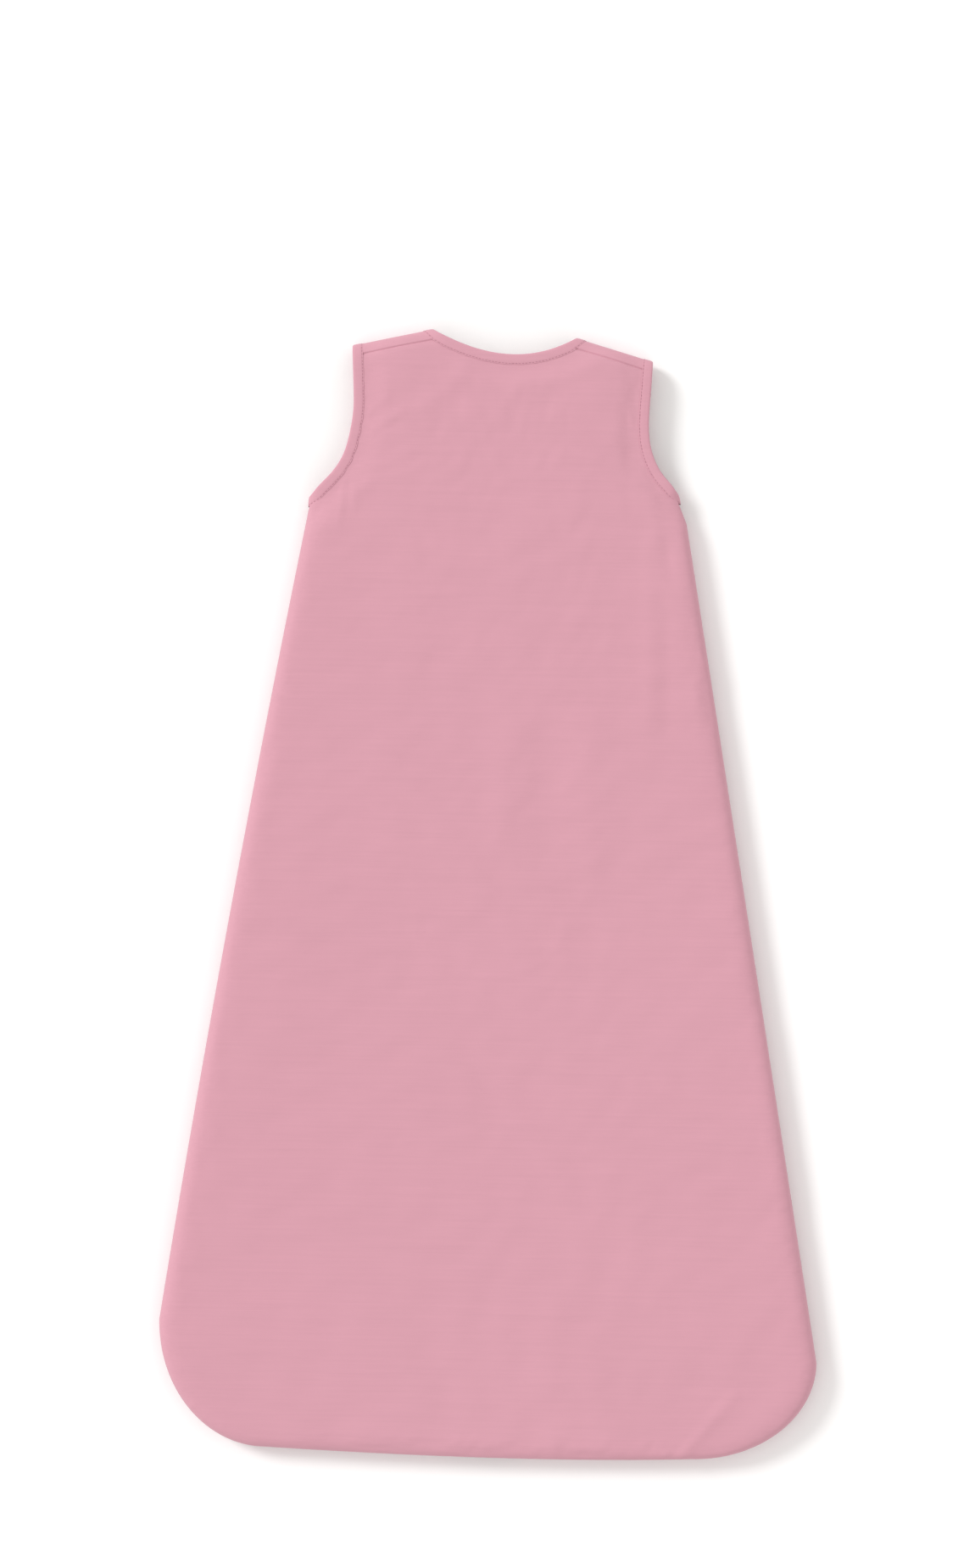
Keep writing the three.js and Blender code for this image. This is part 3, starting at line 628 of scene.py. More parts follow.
def facing(faces, points, up):
    """The faces, wound so that most of them look up (1) or down (-1)."""
    a, b, c = points[faces[:, 0]], points[faces[:, 1]], points[faces[:, 2]]
    return faces if np.median(np.cross(b - a, c - a)[:, 2]) * up > 0 else faces[:, ::-1]


def cloth(name, points, faces, up, material, slot, stands_for=(), thickness=CLOTH, **kind):
    """A sheet of cloth, whose given face looks up or down."""
    piece = make(name, points, facing(faces, points, up), material, slot, stands_for, **kind)
    apply(piece, "SOLIDIFY", thickness=thickness * MM, offset=-1, use_even_offset=False)
    return piece


def block(name, outer, inner, rows, columns, up, material, slot, stands_for):
    """A closed pad between two faces given as grids."""
    faces = facing(quads(rows, columns), outer, up)
    count = rows * columns
    other = faces[:, ::-1] + count
    loop = rim(rows, columns)
    sides = [(a, b, b + count, a + count) for a, b in zip(loop, np.roll(loop, -1))]
    if follows(faces, loop):
        sides = [side[::-1] for side in sides]
    return make(name, np.vstack([outer, inner]), [*faces, *other, *sides], material, slot, stands_for)


def follows(faces, loop):
    """Whether the faces follow the border in the loop's own direction."""
    edges = {(int(a), int(b)) for face in faces[:2] for a, b in zip(face, np.roll(face, -1))}
    return (int(loop[0]), int(loop[1])) in edges


def sweep(path, widths, section, closed):
    """Points of a section carried along a path, with the directions of its first and second part.

    The first part lies along the widths and the second is square to them.
    """
    if closed:
        along = np.roll(path, -1, axis=0) - np.roll(path, 1, axis=0)
    else:
        along = np.gradient(path, axis=0)
    side = unit(widths)
    square = unit(np.cross(unit(along), side))
    return path[:, None] + side[:, None] * section[..., :1] + square[:, None] * section[..., 1:], side, square


def tube_faces(stations, sides, closed=False, first=0):
    """Faces of a tube whose points are numbered station by station."""
    index = np.arange(stations * sides).reshape(stations, sides) + first
    nxt = np.roll(index, -1, axis=0) if closed else index[1:]
    now = index if closed else index[:-1]
    a, b = now, np.roll(now, -1, axis=1)
    d, c = nxt, np.roll(nxt, -1, axis=1)
    faces = np.stack([a, b, c, d], axis=-1).reshape(-1, 4).tolist()
    if not closed:
        faces += [index[0][::-1].tolist(), index[-1].tolist()]
    return faces


def outwards(piece):
    """Turns every face of a closed piece outwards."""
    work = bmesh.new()
    work.from_mesh(piece.data)
    bmesh.ops.recalc_face_normals(work, faces=work.faces)
    work.to_mesh(piece.data)
    work.free()
    return piece


def threads_along(name, runs, radius, material, slot, stands_for=()):
    """Closed round threads, one along each run of points."""
    points, faces = [], []
    angles = np.linspace(0, 2 * math.pi, THREAD_SIDES, endpoint=False)
    ring = np.stack([np.cos(angles), np.sin(angles)], axis=1)
    for run in runs:
        run = np.asarray(run, float)
        along = unit(np.gradient(run, axis=0))
        guide = np.where(np.abs(along[:, 2:]) < 0.9, [[0.0, 0.0, 1.0]], [[1.0, 0.0, 0.0]])
        a = unit(np.cross(along, guide))
        b = np.cross(along, a)
        taper = np.ones(len(run))
        taper[[0, -1]] = 0.45
        spokes = a[:, None] * ring[None, :, :1] + b[:, None] * ring[None, :, 1:]
        rings = run[:, None] + radius * taper[:, None, None] * spokes
        faces += tube_faces(len(run), THREAD_SIDES, first=len(points))
        points += rings.reshape(-1, 3).tolist()
    return outwards(make(name, np.array(points), faces, material, slot, stands_for))


# ---------- Materials ----------


def nodes_of(name):
    material = bpy.data.materials.new(name)
    material.use_nodes = True
    tree = material.node_tree
    return material, tree, tree.nodes["Principled BSDF"]


def add_node(tree, kind, **inputs):
    node = tree.nodes.new("ShaderNode" + kind)
    for key, value in inputs.items():
        node.inputs[key].default_value = value
    return node


def stretched(tree, scale):
    """Texture coordinates in metres of the frame, scaled along each axis."""
    place = add_node(tree, "TexCoord")
    mapping = add_node(tree, "Mapping", Scale=scale)
    tree.links.new(place.outputs["Object"], mapping.inputs["Vector"])
    return mapping.outputs["Vector"]


def noise_of(tree, vector, scale, detail=3.0, rough=0.55):
    node = add_node(tree, "TexNoise", Scale=scale, Detail=detail, Roughness=rough)
    tree.links.new(vector, node.inputs["Vector"])
    return node.outputs["Fac"]


def maths(tree, operation, a, b):
    node = tree.nodes.new("ShaderNodeMath")
    node.operation = operation
    for socket, value in zip(node.inputs, (a, b)):
        if isinstance(value, (int, float)):
            socket.default_value = value
        else:
            tree.links.new(value, socket)
    return node.outputs[0]


def scaled(tree, value, by, plus):
    return maths(tree, "ADD", maths(tree, "MULTIPLY", value, by), plus)


def tint(tree, shader, colour, value):
    """Colours the shader, lighter or darker by the value."""
    hsv = add_node(tree, "HueSaturation", Color=(*colour, 1))
    tree.links.new(value, hsv.inputs["Value"])
    tree.links.new(hsv.outputs["Color"], shader.inputs["Base Color"])


def emboss(tree, shader, height, strength, reach):
    relief = add_node(tree, "Bump", Strength=strength, Distance=reach)
    tree.links.new(height, relief.inputs["Height"])
    tree.links.new(relief.outputs["Normal"], shader.inputs["Normal"])


def threads(tree, vector, per_metre, direction):
    """Rows of threads, running across the direction."""
    wave = add_node(tree, "TexWave", Scale=per_metre * 2 * math.pi / 20, Distortion=0.6, Detail=1.0)
    wave.bands_direction = direction
    tree.links.new(vector, wave.inputs["Vector"])
    return wave.outputs["Fac"]


def woven(name, colour, streak=0.06, mottle=0.04, thread=2200.0, sheen=0.12, rough=0.88, bump=0.35):
    """Plain-weave cotton whose uneven weft shows as fine lines across the cloth."""
    material, tree, shader = nodes_of(name)
    flat = stretched(tree, (1, 1, 1))
    weft = noise_of(tree, stretched(tree, (22, 1300, 1300)), 1.0, 2.0)
    slub = noise_of(tree, stretched(tree, (9, 420, 420)), 1.0, 1.0)
    clouds = noise_of(tree, flat, 9.0, 3.0)
    tone = maths(tree, "ADD", maths(tree, "MULTIPLY", weft, streak), maths(tree, "MULTIPLY", slub, streak))
    tone = maths(tree, "ADD", tone, maths(tree, "MULTIPLY", clouds, mottle))
    tint(tree, shader, colour, maths(tree, "ADD", tone, 1.0 - streak - mottle / 2))
    weave = maths(tree, "MULTIPLY", threads(tree, flat, thread, "X"), threads(tree, flat, thread, "Y"))
    height = maths(tree, "ADD", maths(tree, "MULTIPLY", weave, 0.5), maths(tree, "MULTIPLY", weft, 0.9))
    emboss(tree, shader, height, bump, 0.0002)
    dry = maths(tree, "MULTIPLY_ADD", weft, 0.1)
    dry.node.inputs[2].default_value = rough - 0.05
    tree.links.new(dry, shader.inputs["Roughness"])
    shader.inputs["Sheen Weight"].default_value = sheen
    shader.inputs["Sheen Roughness"].default_value = 0.5
    shader.inputs["Specular IOR Level"].default_value = 0.25
    return material


def fleece(name, colour):
    """Matted fibres in soft clumps."""
    material, tree, shader = nodes_of(name)
    flat = stretched(tree, (1, 1, 1))
    fibres = noise_of(tree, flat, 900.0, 5.0, 0.7)
    clumps = noise_of(tree, flat, 60.0, 4.0)
    tint(tree, shader, colour, scaled(tree, clumps, 0.14, 0.92))
    emboss(tree, shader, maths(tree, "ADD", fibres, clumps), 0.7, 0.0008)
    shader.inputs["Roughness"].default_value = 0.95
    shader.inputs["Sheen Weight"].default_value = 0.3
    return material


def metal(name, colour):
    """Nickel plate, lightly brushed and worn dull in patches."""
    material, tree, shader = nodes_of(name)
    brushed = noise_of(tree, stretched(tree, (300, 9000, 9000)), 1.0, 2.0)
    patches = noise_of(tree, stretched(tree, (1, 1, 1)), 260.0, 3.0)
    tint(tree, shader, colour, scaled(tree, patches, 0.16, 0.92))
    tree.links.new(scaled(tree, patches, 0.25, 0.16), shader.inputs["Roughness"])
    emboss(tree, shader, brushed, 0.15, 0.00005)
    shader.inputs["Metallic"].default_value = 1.0
    return material


def nylon(name, colour):
    """Smooth dyed plastic with a faint grain."""
    material, tree, shader = nodes_of(name)
    grain = noise_of(tree, stretched(tree, (1, 1, 1)), 1800.0, 2.0)
    tint(tree, shader, colour, scaled(tree, grain, 0.1, 0.95))
    tree.links.new(scaled(tree, grain, 0.15, 0.3), shader.inputs["Roughness"])
    return material


PINK = (0.572, 0.288, 0.352)
cotton = woven("slub_cotton", PINK)
binding_cotton = woven("binding_cotton", PINK, streak=0.05, mottle=0.05)
lining_cotton = woven("lining_cotton", (0.86, 0.77, 0.75), streak=0.03, mottle=0.03)
thread_cotton = woven("topstitch_thread", (0.40, 0.17, 0.225), streak=0.1, mottle=0.06, sheen=0.3)
tape_weave = woven("zip_tape_weave", (0.54, 0.26, 0.32), streak=0.04, thread=1600.0, bump=0.6)
label_weave = woven("label_ribbon", (0.93, 0.92, 0.89), streak=0.02, thread=3000.0, rough=0.6, sheen=0.05)
wadding_fleece = fleece("wadding_fleece", (0.90, 0.89, 0.86))
nickel = metal("nickel_plate", (0.62, 0.61, 0.58))
coil_nylon = nylon("coil_nylon", (0.52, 0.23, 0.29))

# ---------- Panels ----------

NECK_SHARE = 0.22  # of the back's top edge, at each end, is shoulder
FRONT_SHOULDER_SHARE = 0.4
FOOT_SHARE, FRONT_FOOT_SHARE = 0.15, 0.28  # of the bottom edge is rounded corner
BACK_ACROSS, FRONT_ACROSS, PANEL_LENGTH = 400, 210, 900  # sizes that set how many points a grid has
STEP = 3.2  # between the points of a panel's grid
UNDER_STEP = 7.0
WADDING_INSET = 3.0
WADDING_SINK = 0.4  # how far the wadding lies below the outer cloth, away from the bindings
SHOULDER_SINK = 2.2  # how deep it goes under the shoulder seam, in depths of the seam's ditch


def backwards(curve):
    return lambda t: curve(1 - np.asarray(t))


def back_grid(step, by, lap, tuck):
    """The back's plan: by so much in from the side seams, lap from the shoulders, tuck from free edges."""
    whole = inset(back_neck, 1, tuck)
    neck = shoulder_part(shoulder_part(whole, left, lap), right, lap, at_end=True)
    west, east = left.edge(lap, by, tuck), right.edge(lap, by, tuck)
    start, end = np.array([0.0]), np.array([1.0])
    north = chain([0, NECK_SHARE, 1 - NECK_SHARE, 1], [
        line(west(end)[0], neck(start)[0]), neck, line(neck(end)[0], east(end)[0]),
    ])
    south = chain([0, FOOT_SHARE, 1 - FOOT_SHARE, 1], [
        left.foot(by), inset(hem, -1, by), backwards(right.foot(by)),
    ])
    u = steps(BACK_ACROSS, step, stops=(NECK_SHARE, 1 - NECK_SHARE))
    v = steps(PANEL_LENGTH, step, rolls=(True, False), stops=SIDE_BREAKS[1:-1])
    return coons(west, east, south, north, u, v), u, v


def front_grid(side, step, by, lap, tuck, zip_edge):
    """One front panel's plan, from its side seam to the zip."""
    whole = shoulder_part(inset(front_neck(side), -side.sign, tuck), side, lap)
    t = np.linspace(0, 1, 3000)
    past_zip = np.abs(whole(t)[:, 0]) <= zip_edge
    share = t[np.argmax(past_zip)] if past_zip.any() else 1.0
    start, end = np.array([0.0]), np.array([1.0])
    west = side.edge(lap, by, tuck)
    north = chain([0, FRONT_SHOULDER_SHARE, 1], [
        line(west(end)[0], whole(start)[0]), lambda s: whole(np.asarray(s) * share),
    ])
    bottom = inset(hem, -1, by)
    middle = t[np.argmin(np.abs(bottom(t)[:, 0] - side.sign * zip_edge))]
    half = lambda s: bottom(mix(0 if side is left else 1, middle, np.asarray(s)))
    south = chain([0, FRONT_FOOT_SHARE, 1], [side.foot(by), half])
    east = line(south(end)[0], north(end)[0])
    u = steps(FRONT_ACROSS, step, rolls=(True, False), stops=(FRONT_SHOULDER_SHARE,))
    v = steps(PANEL_LENGTH, step, stops=SIDE_BREAKS[1:-1])
    return coons(west, east, south, north, u, v), u, v


def draw_seam(points, plan, out, depth=0.9, reach=1.7):
    """Draws cloth inwards where it turns into the side seam."""
    near = np.clip(1 - np.abs(points[:, 2] - SEAM_HEIGHT) / reach, 0, 1) * (distance(plan, side_lines) < 2)
    points[:, :2] -= out[:, :2] * (near**2 * depth)[:, None]


def build_under(prefix, up, wadding_grid, lining_grid, relief):
    """The lining and the wadding of one panel."""
    bed = Bed(lining_grid.reshape(-1, 2), up)
    lining = bed.points(bed.thick)
    lining[:, 2] += relief(bed)
    faces = quads(*lining_grid.shape[:2])
    piece = cloth(
        f"{prefix}_lining_cloth", lining, faces, -up, lining_cotton, "lining_cotton", [f"{prefix}_lining"],
    )

    rows, columns = wadding_grid.shape[:2]
    bed = Bed(wadding_grid.reshape(-1, 2), up)
    waves = relief(bed)
    upper, lower = bed.points(CLOTH + CLEAR), bed.points(bed.thick - CLOTH - CLEAR)
    upper[:, 2] += waves - up * WADDING_SINK * bed.calm(8)
    lower[:, 2] += waves
    if up > 0:
        by_shoulder = ease((SHOULDER_WRAP + 6 - distance(bed.plan, shoulder_lines)) / 5)
        upper[:, 2] -= SHOULDER_SINK * SEAM_DITCH * by_shoulder * (1 - bed.calm(12) * 0.4)
    else:
        upper[:, 2] = np.maximum(upper[:, 2], CLOTH + 2 * CLEAR)
    name = f"{prefix}_wadding"
    pad = block(f"{name}_pad", upper, lower, rows, columns, up, wadding_fleece, "wadding", [name])
    return piece


def settle(points, rows, columns, up, bed, seed):
    """How far slack cloth on the padding moves along its normals, once it has settled between its seams."""
    random = np.random.default_rng(seed)
    start = points + random.normal(0, SLACK_UNEVENNESS, points.shape)
    mesh = bpy.data.meshes.new("slack")
    mesh.from_pydata((start * MM).tolist(), [], facing(quads(rows, columns), start, up).tolist())
    slack = placed("slack", mesh)
    held = slack.vertex_groups.new(name="held")
    border = set(rim(rows, columns).tolist()) | set(np.flatnonzero(bed.calm() < 0.5).tolist())
    held.add([k for k in range(len(start)) if k not in border], CLOTH_GOAL, "REPLACE")
    held.add(sorted(border), 1.0, "REPLACE")
    simulation = slack.modifiers.new("cloth", "CLOTH")
    for name, value in CLOTH_SETTINGS.items():
        setattr(simulation.settings, name, value)
    simulation.settings.vertex_group_mass = "held"
    simulation.settings.effector_weights.gravity = 0
    simulation.collision_settings.use_collision = False
    simulation.point_cache.frame_end = CLOTH_FRAMES
    for number in range(1, CLOTH_FRAMES + 1):
        bpy.context.scene.frame_set(number)
    settled = slack.evaluated_get(bpy.context.evaluated_depsgraph_get()).data
    moved = np.empty(len(start) * 3)
    settled.vertices.foreach_get("co", moved)
    moved = moved.reshape(-1, 3) / MM - points
    bpy.data.objects.remove(slack)
    bpy.context.scene.frame_set(1)
    return np.einsum("ij,ij->i", moved, normals(points, rows, columns, up)).reshape(rows, columns)


def slack_of(grid_of, up, u, v, seed):
    """How far the simulated cloth stands off its bed, at the places u, v of a finer grid."""
    grid, coarse_u, coarse_v = grid_of(SLACK_STEP)
    rows, columns = grid.shape[:2]
    bed = Bed(grid.reshape(-1, 2), up)
    off = settle(bed.points(), rows, columns, up, bed, seed)
    off -= np.median(off)
    off = CLOTH_CAP * np.tanh(off / CLOTH_CAP)
    off = sampled(v, coarse_v, sampled(u, coarse_u, off.T).T)
    off = smoothed(smoothed(off, SLACK_SMOOTHING).T, SLACK_SMOOTHING).T
    return off.ravel() * CLOTH_SHARE


def outer_points(grid_of, up, relief, seed):
    """The outer cloth's face, with its folds."""
    grid, u, v = grid_of(STEP)
    rows, columns = grid.shape[:2]
    bed = Bed(grid.reshape(-1, 2), up)
    points = bed.points()
    out = normals(points, rows, columns, up)
    slack = slack_of(grid_of, up, u, v, seed) * bed.calm() * ease(bed.seam / SLACK_FADE)
    points += out * ((up * relief(bed) + slack) * ease(bed.seam / RELIEF_FADE))[:, None]
    draw_seam(points, bed.plan, out)
    return points, bed, rows, columns


def build_back():
    grid_of = lambda step: back_grid(step, 0, SHOULDER_WRAP - SHOULDER_LAP, TUCK)
    points, bed, rows, columns = outer_points(grid_of, 1, back_relief, 51)
    before_ditch = SHOULDER_WRAP + DITCH_HALF - distance(bed.plan, shoulder_lines)
    points[:, 2] -= 2 * SEAM_DITCH * ease(before_ditch / (2 * DITCH_HALF))
    outer = cloth("back_outer_cloth", points, quads(rows, columns), 1, cotton, "outer_cotton", ["back_outer"])
    lining_grid = back_grid(UNDER_STEP, SEWN, SEWN, LINING_TUCK)[0]
    wadding_grid = back_grid(UNDER_STEP, WADDING_INSET, WADDING_INSET, WADDING_TUCK)[0]
    lining = build_under("back", 1, wadding_grid, lining_grid, back_relief)


def build_front(side, name):
    grid_of = lambda step: front_grid(side, step, 0, 0.02, TUCK, ZIP_EDGE)
    points, bed, rows, columns = outer_points(grid_of, -1, front_relief, 52)
    points[:, 2] = np.maximum(points[:, 2], FLOOR_CLEAR)
    faces = quads(rows, columns).tolist()

    # The front's upper edge turns over the shoulder and ends at the seam on the back.
    last = np.arange((rows - 1) * columns, rows * columns)
    above = distance(bed.plan[last], shoulder_lines) < 0.3
    before = last[above]
    share = column(np.linspace(0, 1, len(before)))
    rolling = ROLL[(ROLL > 0) & (ROLL < SHOULDER_WRAP - WRAP_ROLL_END)]
    armhole = inset(side.armhole, -side.sign, TUCK)
    neck = inset(back_neck if side is left else backwards(back_neck), -side.sign, TUCK)
    for reach in [*rolling, *(SHOULDER_WRAP - WRAP_END)]:
        start = shoulder_part(armhole, side, reach, at_end=True)(np.array([1.0]))
        end = shoulder_part(neck, side, reach)(np.array([0.0]))
        added = Bed(start + (end - start) * share, 1).points()
        added[:, 2] -= SEAM_DITCH * ease((reach - SHOULDER_WRAP + DITCH_HALF) / DITCH_HALF)
        row = len(points) + np.arange(len(before))
        points = np.vstack([points, added])
        faces += np.stack([before[:-1], before[1:], row[1:], row[:-1]], axis=1).tolist()
        before = row
    prefix = f"front_{name}"
    outer = cloth(
        f"{prefix}_outer_cloth", points, np.array(faces), -1, cotton, "outer_cotton", [f"{prefix}_outer"],
    )
    lining_grid = front_grid(side, UNDER_STEP, SEWN, SEWN, LINING_TUCK, ZIP_EDGE + 1)[0]
    wadding_grid = front_grid(side, UNDER_STEP, WADDING_INSET, WADDING_INSET, WADDING_TUCK, VALLEY_HALF)[0]
    lining = build_under(prefix, -1, wadding_grid, lining_grid, front_relief)


# ---------- Bindings ----------

LIP = BINDING_WIDTH / 2


def binding_run(curve, sign, up, fold_widths, turn):
    """A binding's middle line and width directions on one face.

    It turns over a seam at each end that has a fold width.
    """
    t = np.linspace(0, 1, 500)
    widths = smoothed(across(curve, t) * sign, 900)
    total = length_of(curve)
    for fold, gap in zip(fold_widths, (t * total, (1 - t) * total)):
        if fold is not None:
            widths = mix(widths, fold, (1 - ease(gap / turn))[:, None])
    fine_t = (1 - np.cos(np.linspace(0, math.pi, 900))) / 2
    widths = sampled(fine_t, t, unit(widths))
    middle = curve(fine_t) + widths * LIP
    bed = Bed(middle, up)
    points = bed.points(BOUND / 2)
    rise = [Bed(middle + widths * k, up).points(BOUND / 2)[:, 2] for k in (-2.0, 3.0)]
    slope = np.clip((rise[1] - rise[0]) / 5.0, -BINDING_RISE, BINDING_RISE)
    keep = bed.seam > BOUND / 2
    return points[keep], np.column_stack([widths, slope])[keep]


def evenly(path, widths, closed, spacing=0.8):
    """The same path in even steps, with its kinks eased."""
    if closed:
        path, widths = np.vstack([path, path[:1]]), np.vstack([widths, widths[:1]])
    length = milestones(path)
    s = np.linspace(0, length[-1], round(length[-1] / spacing) + 1)
    path, widths = sampled(s, length, path), sampled(s, length, widths)
    if closed:
        path, widths, s = path[:-1], widths[:-1], s[:-1]
    for _ in range(3):
        for values in (path, widths):
            eased = (np.roll(values, 1, axis=0) + 2 * values + np.roll(values, -1, axis=0)) / 4
            if not closed:
                eased[[0, -1]] = values[[0, -1]]
            values[:] = eased
    return path, widths, s


# Half of a folded binding's section, from its lip round to its folded edge: across in millimetres, and up
# as a share of half its thickness. It dips where the topstitching draws it in.
BINDING_PROFILE = [
    (4.25, 0.70), (4.1, 0.86), (3.75, 0.94), (3.45, 0.90), (3.25, 0.87), (3.05, 0.90), (2.6, 0.97),
    (1.6, 1.02), (0.2, 1.03), (-1.4, 1.02), (-2.7, 0.97), (-3.5, 0.80), (-4.0, 0.48),
]


WAVE, LIP_WAVE, WAVE_LENGTHS, WAVES = 0.10, 0.12, (4.5, 14), 5  # of a binding's uneven cloth
DIMPLE, DIMPLE_HALF = 0.16, 0.45  # of the cloth between two stitches
STITCH_RISE = 0.86 * BINDING_HALF + np.array([-0.2, 0.0, 0.06, 0.0, -0.2])


def build_binding(name, path, widths, closed, seed):
    path, widths, s = evenly(path, widths, closed)
    random = np.random.default_rng(seed)
    profile = np.array(BINDING_PROFILE) * [1, BINDING_HALF]
    outer = np.vstack([profile, [[-4.25, 0]], profile[::-1] * [1, -1]])
    low = BINDING_HALF - BINDING_CLOTH
    lining = np.array([(4.0, low), (1.5, low), (-1.5, low), (-3.0, low * 0.85), (-3.6, 0.4)])
    inner = np.vstack([lining * [1, -1], lining[::-1]])
    section = np.tile(np.vstack([outer, inner]), (len(s), 1, 1))
    face = section[:, :len(outer)]
    share = (face[:, :, 0] + LIP) / BINDING_WIDTH
    wave = sum(
        random.uniform(0.5, 1)
        * np.sin(2 * math.pi * s / random.uniform(*WAVE_LENGTHS) + random.uniform(0, 6.3))
        for _ in range(WAVES)
    ) / 3
    dimple = (1 + np.cos(2 * math.pi * s / STITCH_PITCH)) / 2
    at_stitch = np.exp(-0.5 * ((face[:, :, 0] - (LIP - STITCH_INSET)) / DIMPLE_HALF) ** 2)
    lift = WAVE * wave[:, None] * share - DIMPLE * dimple[:, None] * at_stitch
    face[:, :, 1] += lift * np.sign(face[:, :, 1])
    section[:, :, 0] += LIP_WAVE * wave[:, None] * (section[:, :, 0] > 3)
    points, side, square = sweep(path, widths, section, closed)
    faces = tube_faces(len(s), section.shape[1], closed)
    piece = make(f"{name}_tape", points.reshape(-1, 3), faces, binding_cotton, "binding_cotton", [name])
    outwards(piece)

    runs = []
    for start in np.arange(STITCH_PITCH / 2, s[-1] - STITCH_PITCH, STITCH_PITCH):
        at, inwards, out = (sampled(start + STITCH_PLACES, s, values) for values in (path, side, square))
        for up in (1, -1):
            runs.append(at + inwards * (LIP - STITCH_INSET) + out * (up * STITCH_RISE)[:, None])
    topstitch = threads_along(f"{name}_topstitch", runs, THREAD_RADIUS, thread_cotton, "binding_cotton")


def build_bindings():
    for side, name, seed in ((left, "left", 41), (right, "right", 42)):
        up_path, up_width = binding_run(side.armhole, -side.sign, 1, (side.down, side.along), 14)
        down_path, down_width = binding_run(side.armhole, -side.sign, -1, (side.down, side.along), 14)
        path = np.vstack([up_path, down_path[::-1]])
        widths = np.vstack([up_width, down_width[::-1]])
        build_binding(f"armhole_binding_{name}", path, widths, True, seed)
    back = binding_run(back_neck, 1, 1, (-left.along, -right.along), 15)
    first = binding_run(front_neck(left), 1, -1, (-left.along, None), 10)
    last = binding_run(front_neck(right), -1, -1, (-right.along, None), 10)
    path = np.vstack([first[0][::-1], back[0], last[0]])
    widths = np.vstack([first[1][::-1], back[1], last[1]])
    build_binding("neck_binding", path, widths, False, 43)


# ---------- Zip ----------


def front_face(x, y, depth=0.0):
    x, y = np.broadcast_arrays(np.asarray(x, float), np.asarray(y, float))
    return Bed(np.column_stack([x.ravel(), y.ravel()]), -1).points(depth)


def build_zip_stitches(sign, name):
    """The row of topstitching that holds a front panel to its tape."""
    runs = []
    for start in np.arange(ZIP_STITCHES[0], ZIP_STITCHES[1], STITCH_PITCH):
        run = front_face(sign * ZIP_STITCH_X, start + STITCH_PLACES)
        run[:, 2] += np.array([0.22, 0.02, -0.06, 0.02, 0.22])
        runs.append(run)
    threads_along(f"zip_topstitch_{name}", runs, THREAD_RADIUS, thread_cotton, "binding_cotton")


def build_zip():
    for sign, name in ((-1, "left"), (1, "right")):
        x = sign * np.array([TAPE_INNER, 2.5, 3.2, 5, 8, 11, 13.4, TAPE_OUTER])
        y = np.concatenate([np.linspace(TAPE_BOTTOM, -405, 34), np.linspace(-395, TAPE_TOP, 60)])
        xx, yy = np.meshgrid(x, y)
        apart = ease((yy - COIL_BOTTOM + 8) / 4)
        xx = np.where(np.abs(xx) < TAPE_LOOSE, mix(xx - sign * (TAPE_INNER - 0.1), xx, apart), xx)
        points = front_face(0 * xx, yy, ZIP_PANEL / 2)
        points[:, 0] = xx.ravel()
        points[:, 2] += TAPE_DEPTH + 0.05 * np.sin(xx.ravel() * 2.0)
        tape = cloth(
            f"zip_tape_{name}_weave", points, quads(*xx.shape), 1, tape_weave, "zip_tape",
            [f"zip_tape_{name}"], thickness=TAPE_THICKNESS,
        )
        build_zip_stitches(sign, name)

        turns = np.arange(COIL_BOTTOM + COIL_END, COIL_TOP - COIL_END, COIL_PITCH / 10)
        angle = 2 * math.pi * (turns / COIL_PITCH + (0.5 if sign > 0 else 0))
        squash = np.sign(np.cos(angle)) * np.abs(np.cos(angle)) ** 0.7
        x, z = sign * (COIL_MIDDLE - COIL_REACH * squash), ZIP_HEIGHT + COIL_RISE * np.sin(angle)
        run = np.column_stack([x, turns, z])
        coil = f"zip_coil_{name}"
        threads_along(f"{coil}_wire", [run], COIL_WIRE, coil_nylon, "zip_coil", [coil])


def refined(node, bevel=0.2):
    """A CAD metal part with its edges rounded."""
    piece = placed(f"{node}_rounded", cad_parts[node].data.copy())
    piece.data.materials.clear()
    piece.data.materials.append(nickel)
    apply(piece, "WELD", merge_threshold=0.00002)
    apply(
        piece, "BEVEL", width=bevel * MM, segments=2, limit_method="ANGLE", angle_limit=math.radians(35),
        use_clamp_overlap=True,
    )
    piece.data.polygons.foreach_set("use_smooth", [True] * len(piece.data.polygons))
    apply(piece, "WEIGHTED_NORMAL")
    return piece


METAL = {
    "bag": (
        "zip_top_stop_left", "zip_top_stop_right", "zip_bottom_stop_left", "zip_bottom_stop_right",
        "snap_stud", "snap_back",
    ),
    "upper_slider": ("upper_slider_body", "upper_slider_bridge"),
    "upper_pull": ("upper_pull_tab",),
    "lower_slider": ("lower_slider_body", "lower_slider_bridge"),
    "lower_pull": ("lower_pull_tab",),
    "chin_flap": ("snap_cap", "snap_socket"),
}


def build_metal():
    for body, names in METAL.items():
        for node in names:
            piece = refined(node)
            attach(piece, body)
            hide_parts(node)


def lay_box(node):
    """The low and high corners of a CAD node, in millimetres of the lay."""
    return (np.array(corner) / MM - LAY_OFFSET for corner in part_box(node))


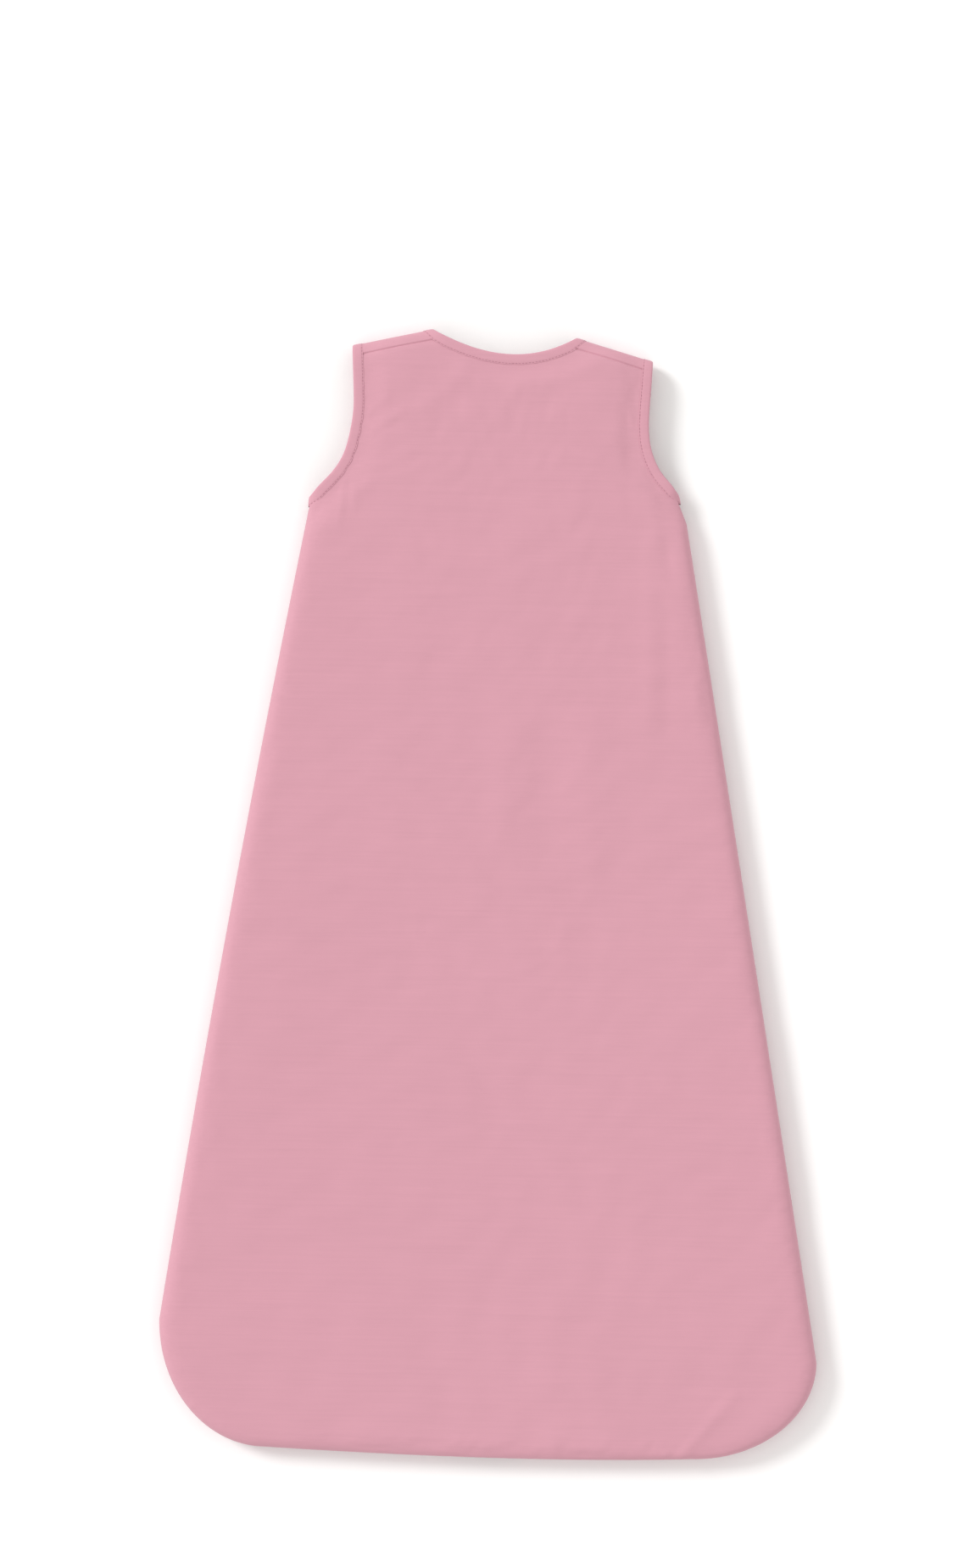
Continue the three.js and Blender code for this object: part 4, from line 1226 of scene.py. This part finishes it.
def strip(node, step, crown, wave, seed, round_end=0.0):
    """Grid over a flat strip's place: crowned across, waved along, and rounded at its high-x corners."""
    low, high = lay_box(node)
    span = high - low
    u, v = (np.linspace(0, 1, max(6, round(size / step)) + 1) for size in span[:2])
    uu, vv = np.meshgrid(u, v)
    plan = np.column_stack([low[0] + span[0] * uu.ravel(), low[1] + span[1] * vv.ravel()])
    if round_end:
        corner = high[0] - round_end
        past = np.clip((plan[:, 0] - corner) / round_end, 0, 1)
        narrow = 1 - round_end * (1 - np.sqrt(1 - past**2)) / (span[1] / 2)
        middle = (low[1] + high[1]) / 2
        plan[:, 1] = middle + (plan[:, 1] - middle) * narrow
    rise = crown * np.sin(math.pi * uu.ravel()) * np.sin(math.pi * vv.ravel())
    return plan, rise + wave * swell(plan, 40, 6, seed), low, high, uu.shape


def build_small_cloth():
    """The zip guard and the two blank labels."""
    for node, material, slot, cut, crown, wave, seed in (
        ("zip_guard", lining_cotton, "lining_cotton", GUARD_CUT, 0.0, 0.12, 61),
        ("size_label", label_weave, "label_ribbon", SIZE_LABEL_CUT, -0.25, 0.03, 62),
        ("care_label", label_weave, "label_ribbon", CARE_LABEL_CUT, 0.25, 0.03, 63),
    ):
        plan, rise, low, high, shape = strip(node, 3.0, crown, wave, seed)
        points = np.column_stack([plan, np.full(len(plan), high[2]) + rise])
        thickness = high[2] - low[2]
        piece = cloth(f"{node}_cloth", points, quads(*shape), 1, material, slot, [node], thickness)


ROOT_COLUMNS, ROOT_FLAT = 9, 3.0  # of the tab between its sewn edge and its hinge


def build_chin_tab():
    """The tab and the strip it is sewn on by, as one cloth."""
    plan, rise, low, high, shape = strip("chin_tab", 1.5, -0.25, 0.04, 64, round_end=6.0)
    base_low, base_high = lay_box("chin_tab_base")
    root, foot = low[0], base_low[0]
    y = plan[plan[:, 0] < root + 1e-6, 1]
    reach = np.linspace(foot, root, ROOT_COLUMNS)[:-1]
    top = mix(base_high[2] - 0.1, high[2], ease((reach - foot - ROOT_FLAT) / (root - foot - ROOT_FLAT)))
    grid = np.column_stack([plan, high[2] + rise]).reshape(*shape, 3)
    columns = [np.column_stack([np.full(len(y), x), y, np.full(len(y), z)]) for x, z in zip(reach, top)]
    lead = np.stack(columns, axis=1)
    grid = np.concatenate([lead, grid], axis=1)
    piece = cloth(
        "chin_tab_cloth", grid.reshape(-1, 3), quads(*grid.shape[:2]), 1, cotton, "outer_cotton",
        ["chin_tab", "chin_tab_base"], thickness=high[2] - low[2] - 0.3, body=None,
    )
    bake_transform(piece)


FLOOR_HALF, FLOOR_LEVEL = 4.0, -0.0004  # metres
SKY, SKY_STRENGTH = (1.0, 0.985, 0.965, 1), 0.95
SUN_FROM, SUN_ENERGY, SUN_WIDTH = (-0.665, 0.43, 0.61), 1.6, 18
LENS, SENSOR = 100, 36
VIEW_MIDDLE, VIEW_HEIGHT, VIEW_TURN = (-9.0, 88.2), 1251.8, 1.04  # in the lay, with the turn in degrees


def camera_and_light():
    """A plain white floor, soft light from the upper left, and the photograph's view from straight above."""
    floor_mesh = bpy.data.meshes.new("floor")
    corners = [(x * FLOOR_HALF, y * FLOOR_HALF, FLOOR_LEVEL) for x, y in ((-1, -1), (1, -1), (1, 1), (-1, 1))]
    floor_mesh.from_pydata(corners, [], [(0, 1, 2, 3)])
    floor = placed("floor", floor_mesh)
    material, _, shader = nodes_of("floor_white")
    shader.inputs["Base Color"].default_value = (0.9, 0.9, 0.9, 1)
    shader.inputs["Roughness"].default_value = 0.9
    floor_mesh.materials.append(material)

    world = bpy.data.worlds.new("studio")
    world.use_nodes = True
    world.node_tree.nodes["Background"].inputs["Color"].default_value = SKY
    world.node_tree.nodes["Background"].inputs["Strength"].default_value = SKY_STRENGTH
    bpy.context.scene.world = world

    sun = bpy.data.lights.new("key", "SUN")
    sun.energy = SUN_ENERGY
    sun.angle = math.radians(SUN_WIDTH)
    placed("key", sun).rotation_euler = Vector(SUN_FROM).to_track_quat("Z", "Y").to_euler()

    camera = bpy.data.cameras.new("camera")
    camera.lens = LENS
    camera.sensor_width = SENSOR
    distance_up = VIEW_HEIGHT * LENS / SENSOR + SEAM_HEIGHT
    eye = placed("camera", camera)
    eye.location = (Vector((*VIEW_MIDDLE, distance_up)) + Vector(LAY_OFFSET)) * MM
    eye.rotation_euler = (0, 0, math.radians(VIEW_TURN))
    bpy.context.scene.camera = eye
    bpy.context.scene.view_settings.view_transform = "Standard"


camera_and_light()
build_back()
build_front(left, "left")
build_front(right, "right")
build_bindings()
build_zip()
build_metal()
build_small_cloth()
build_chin_tab()
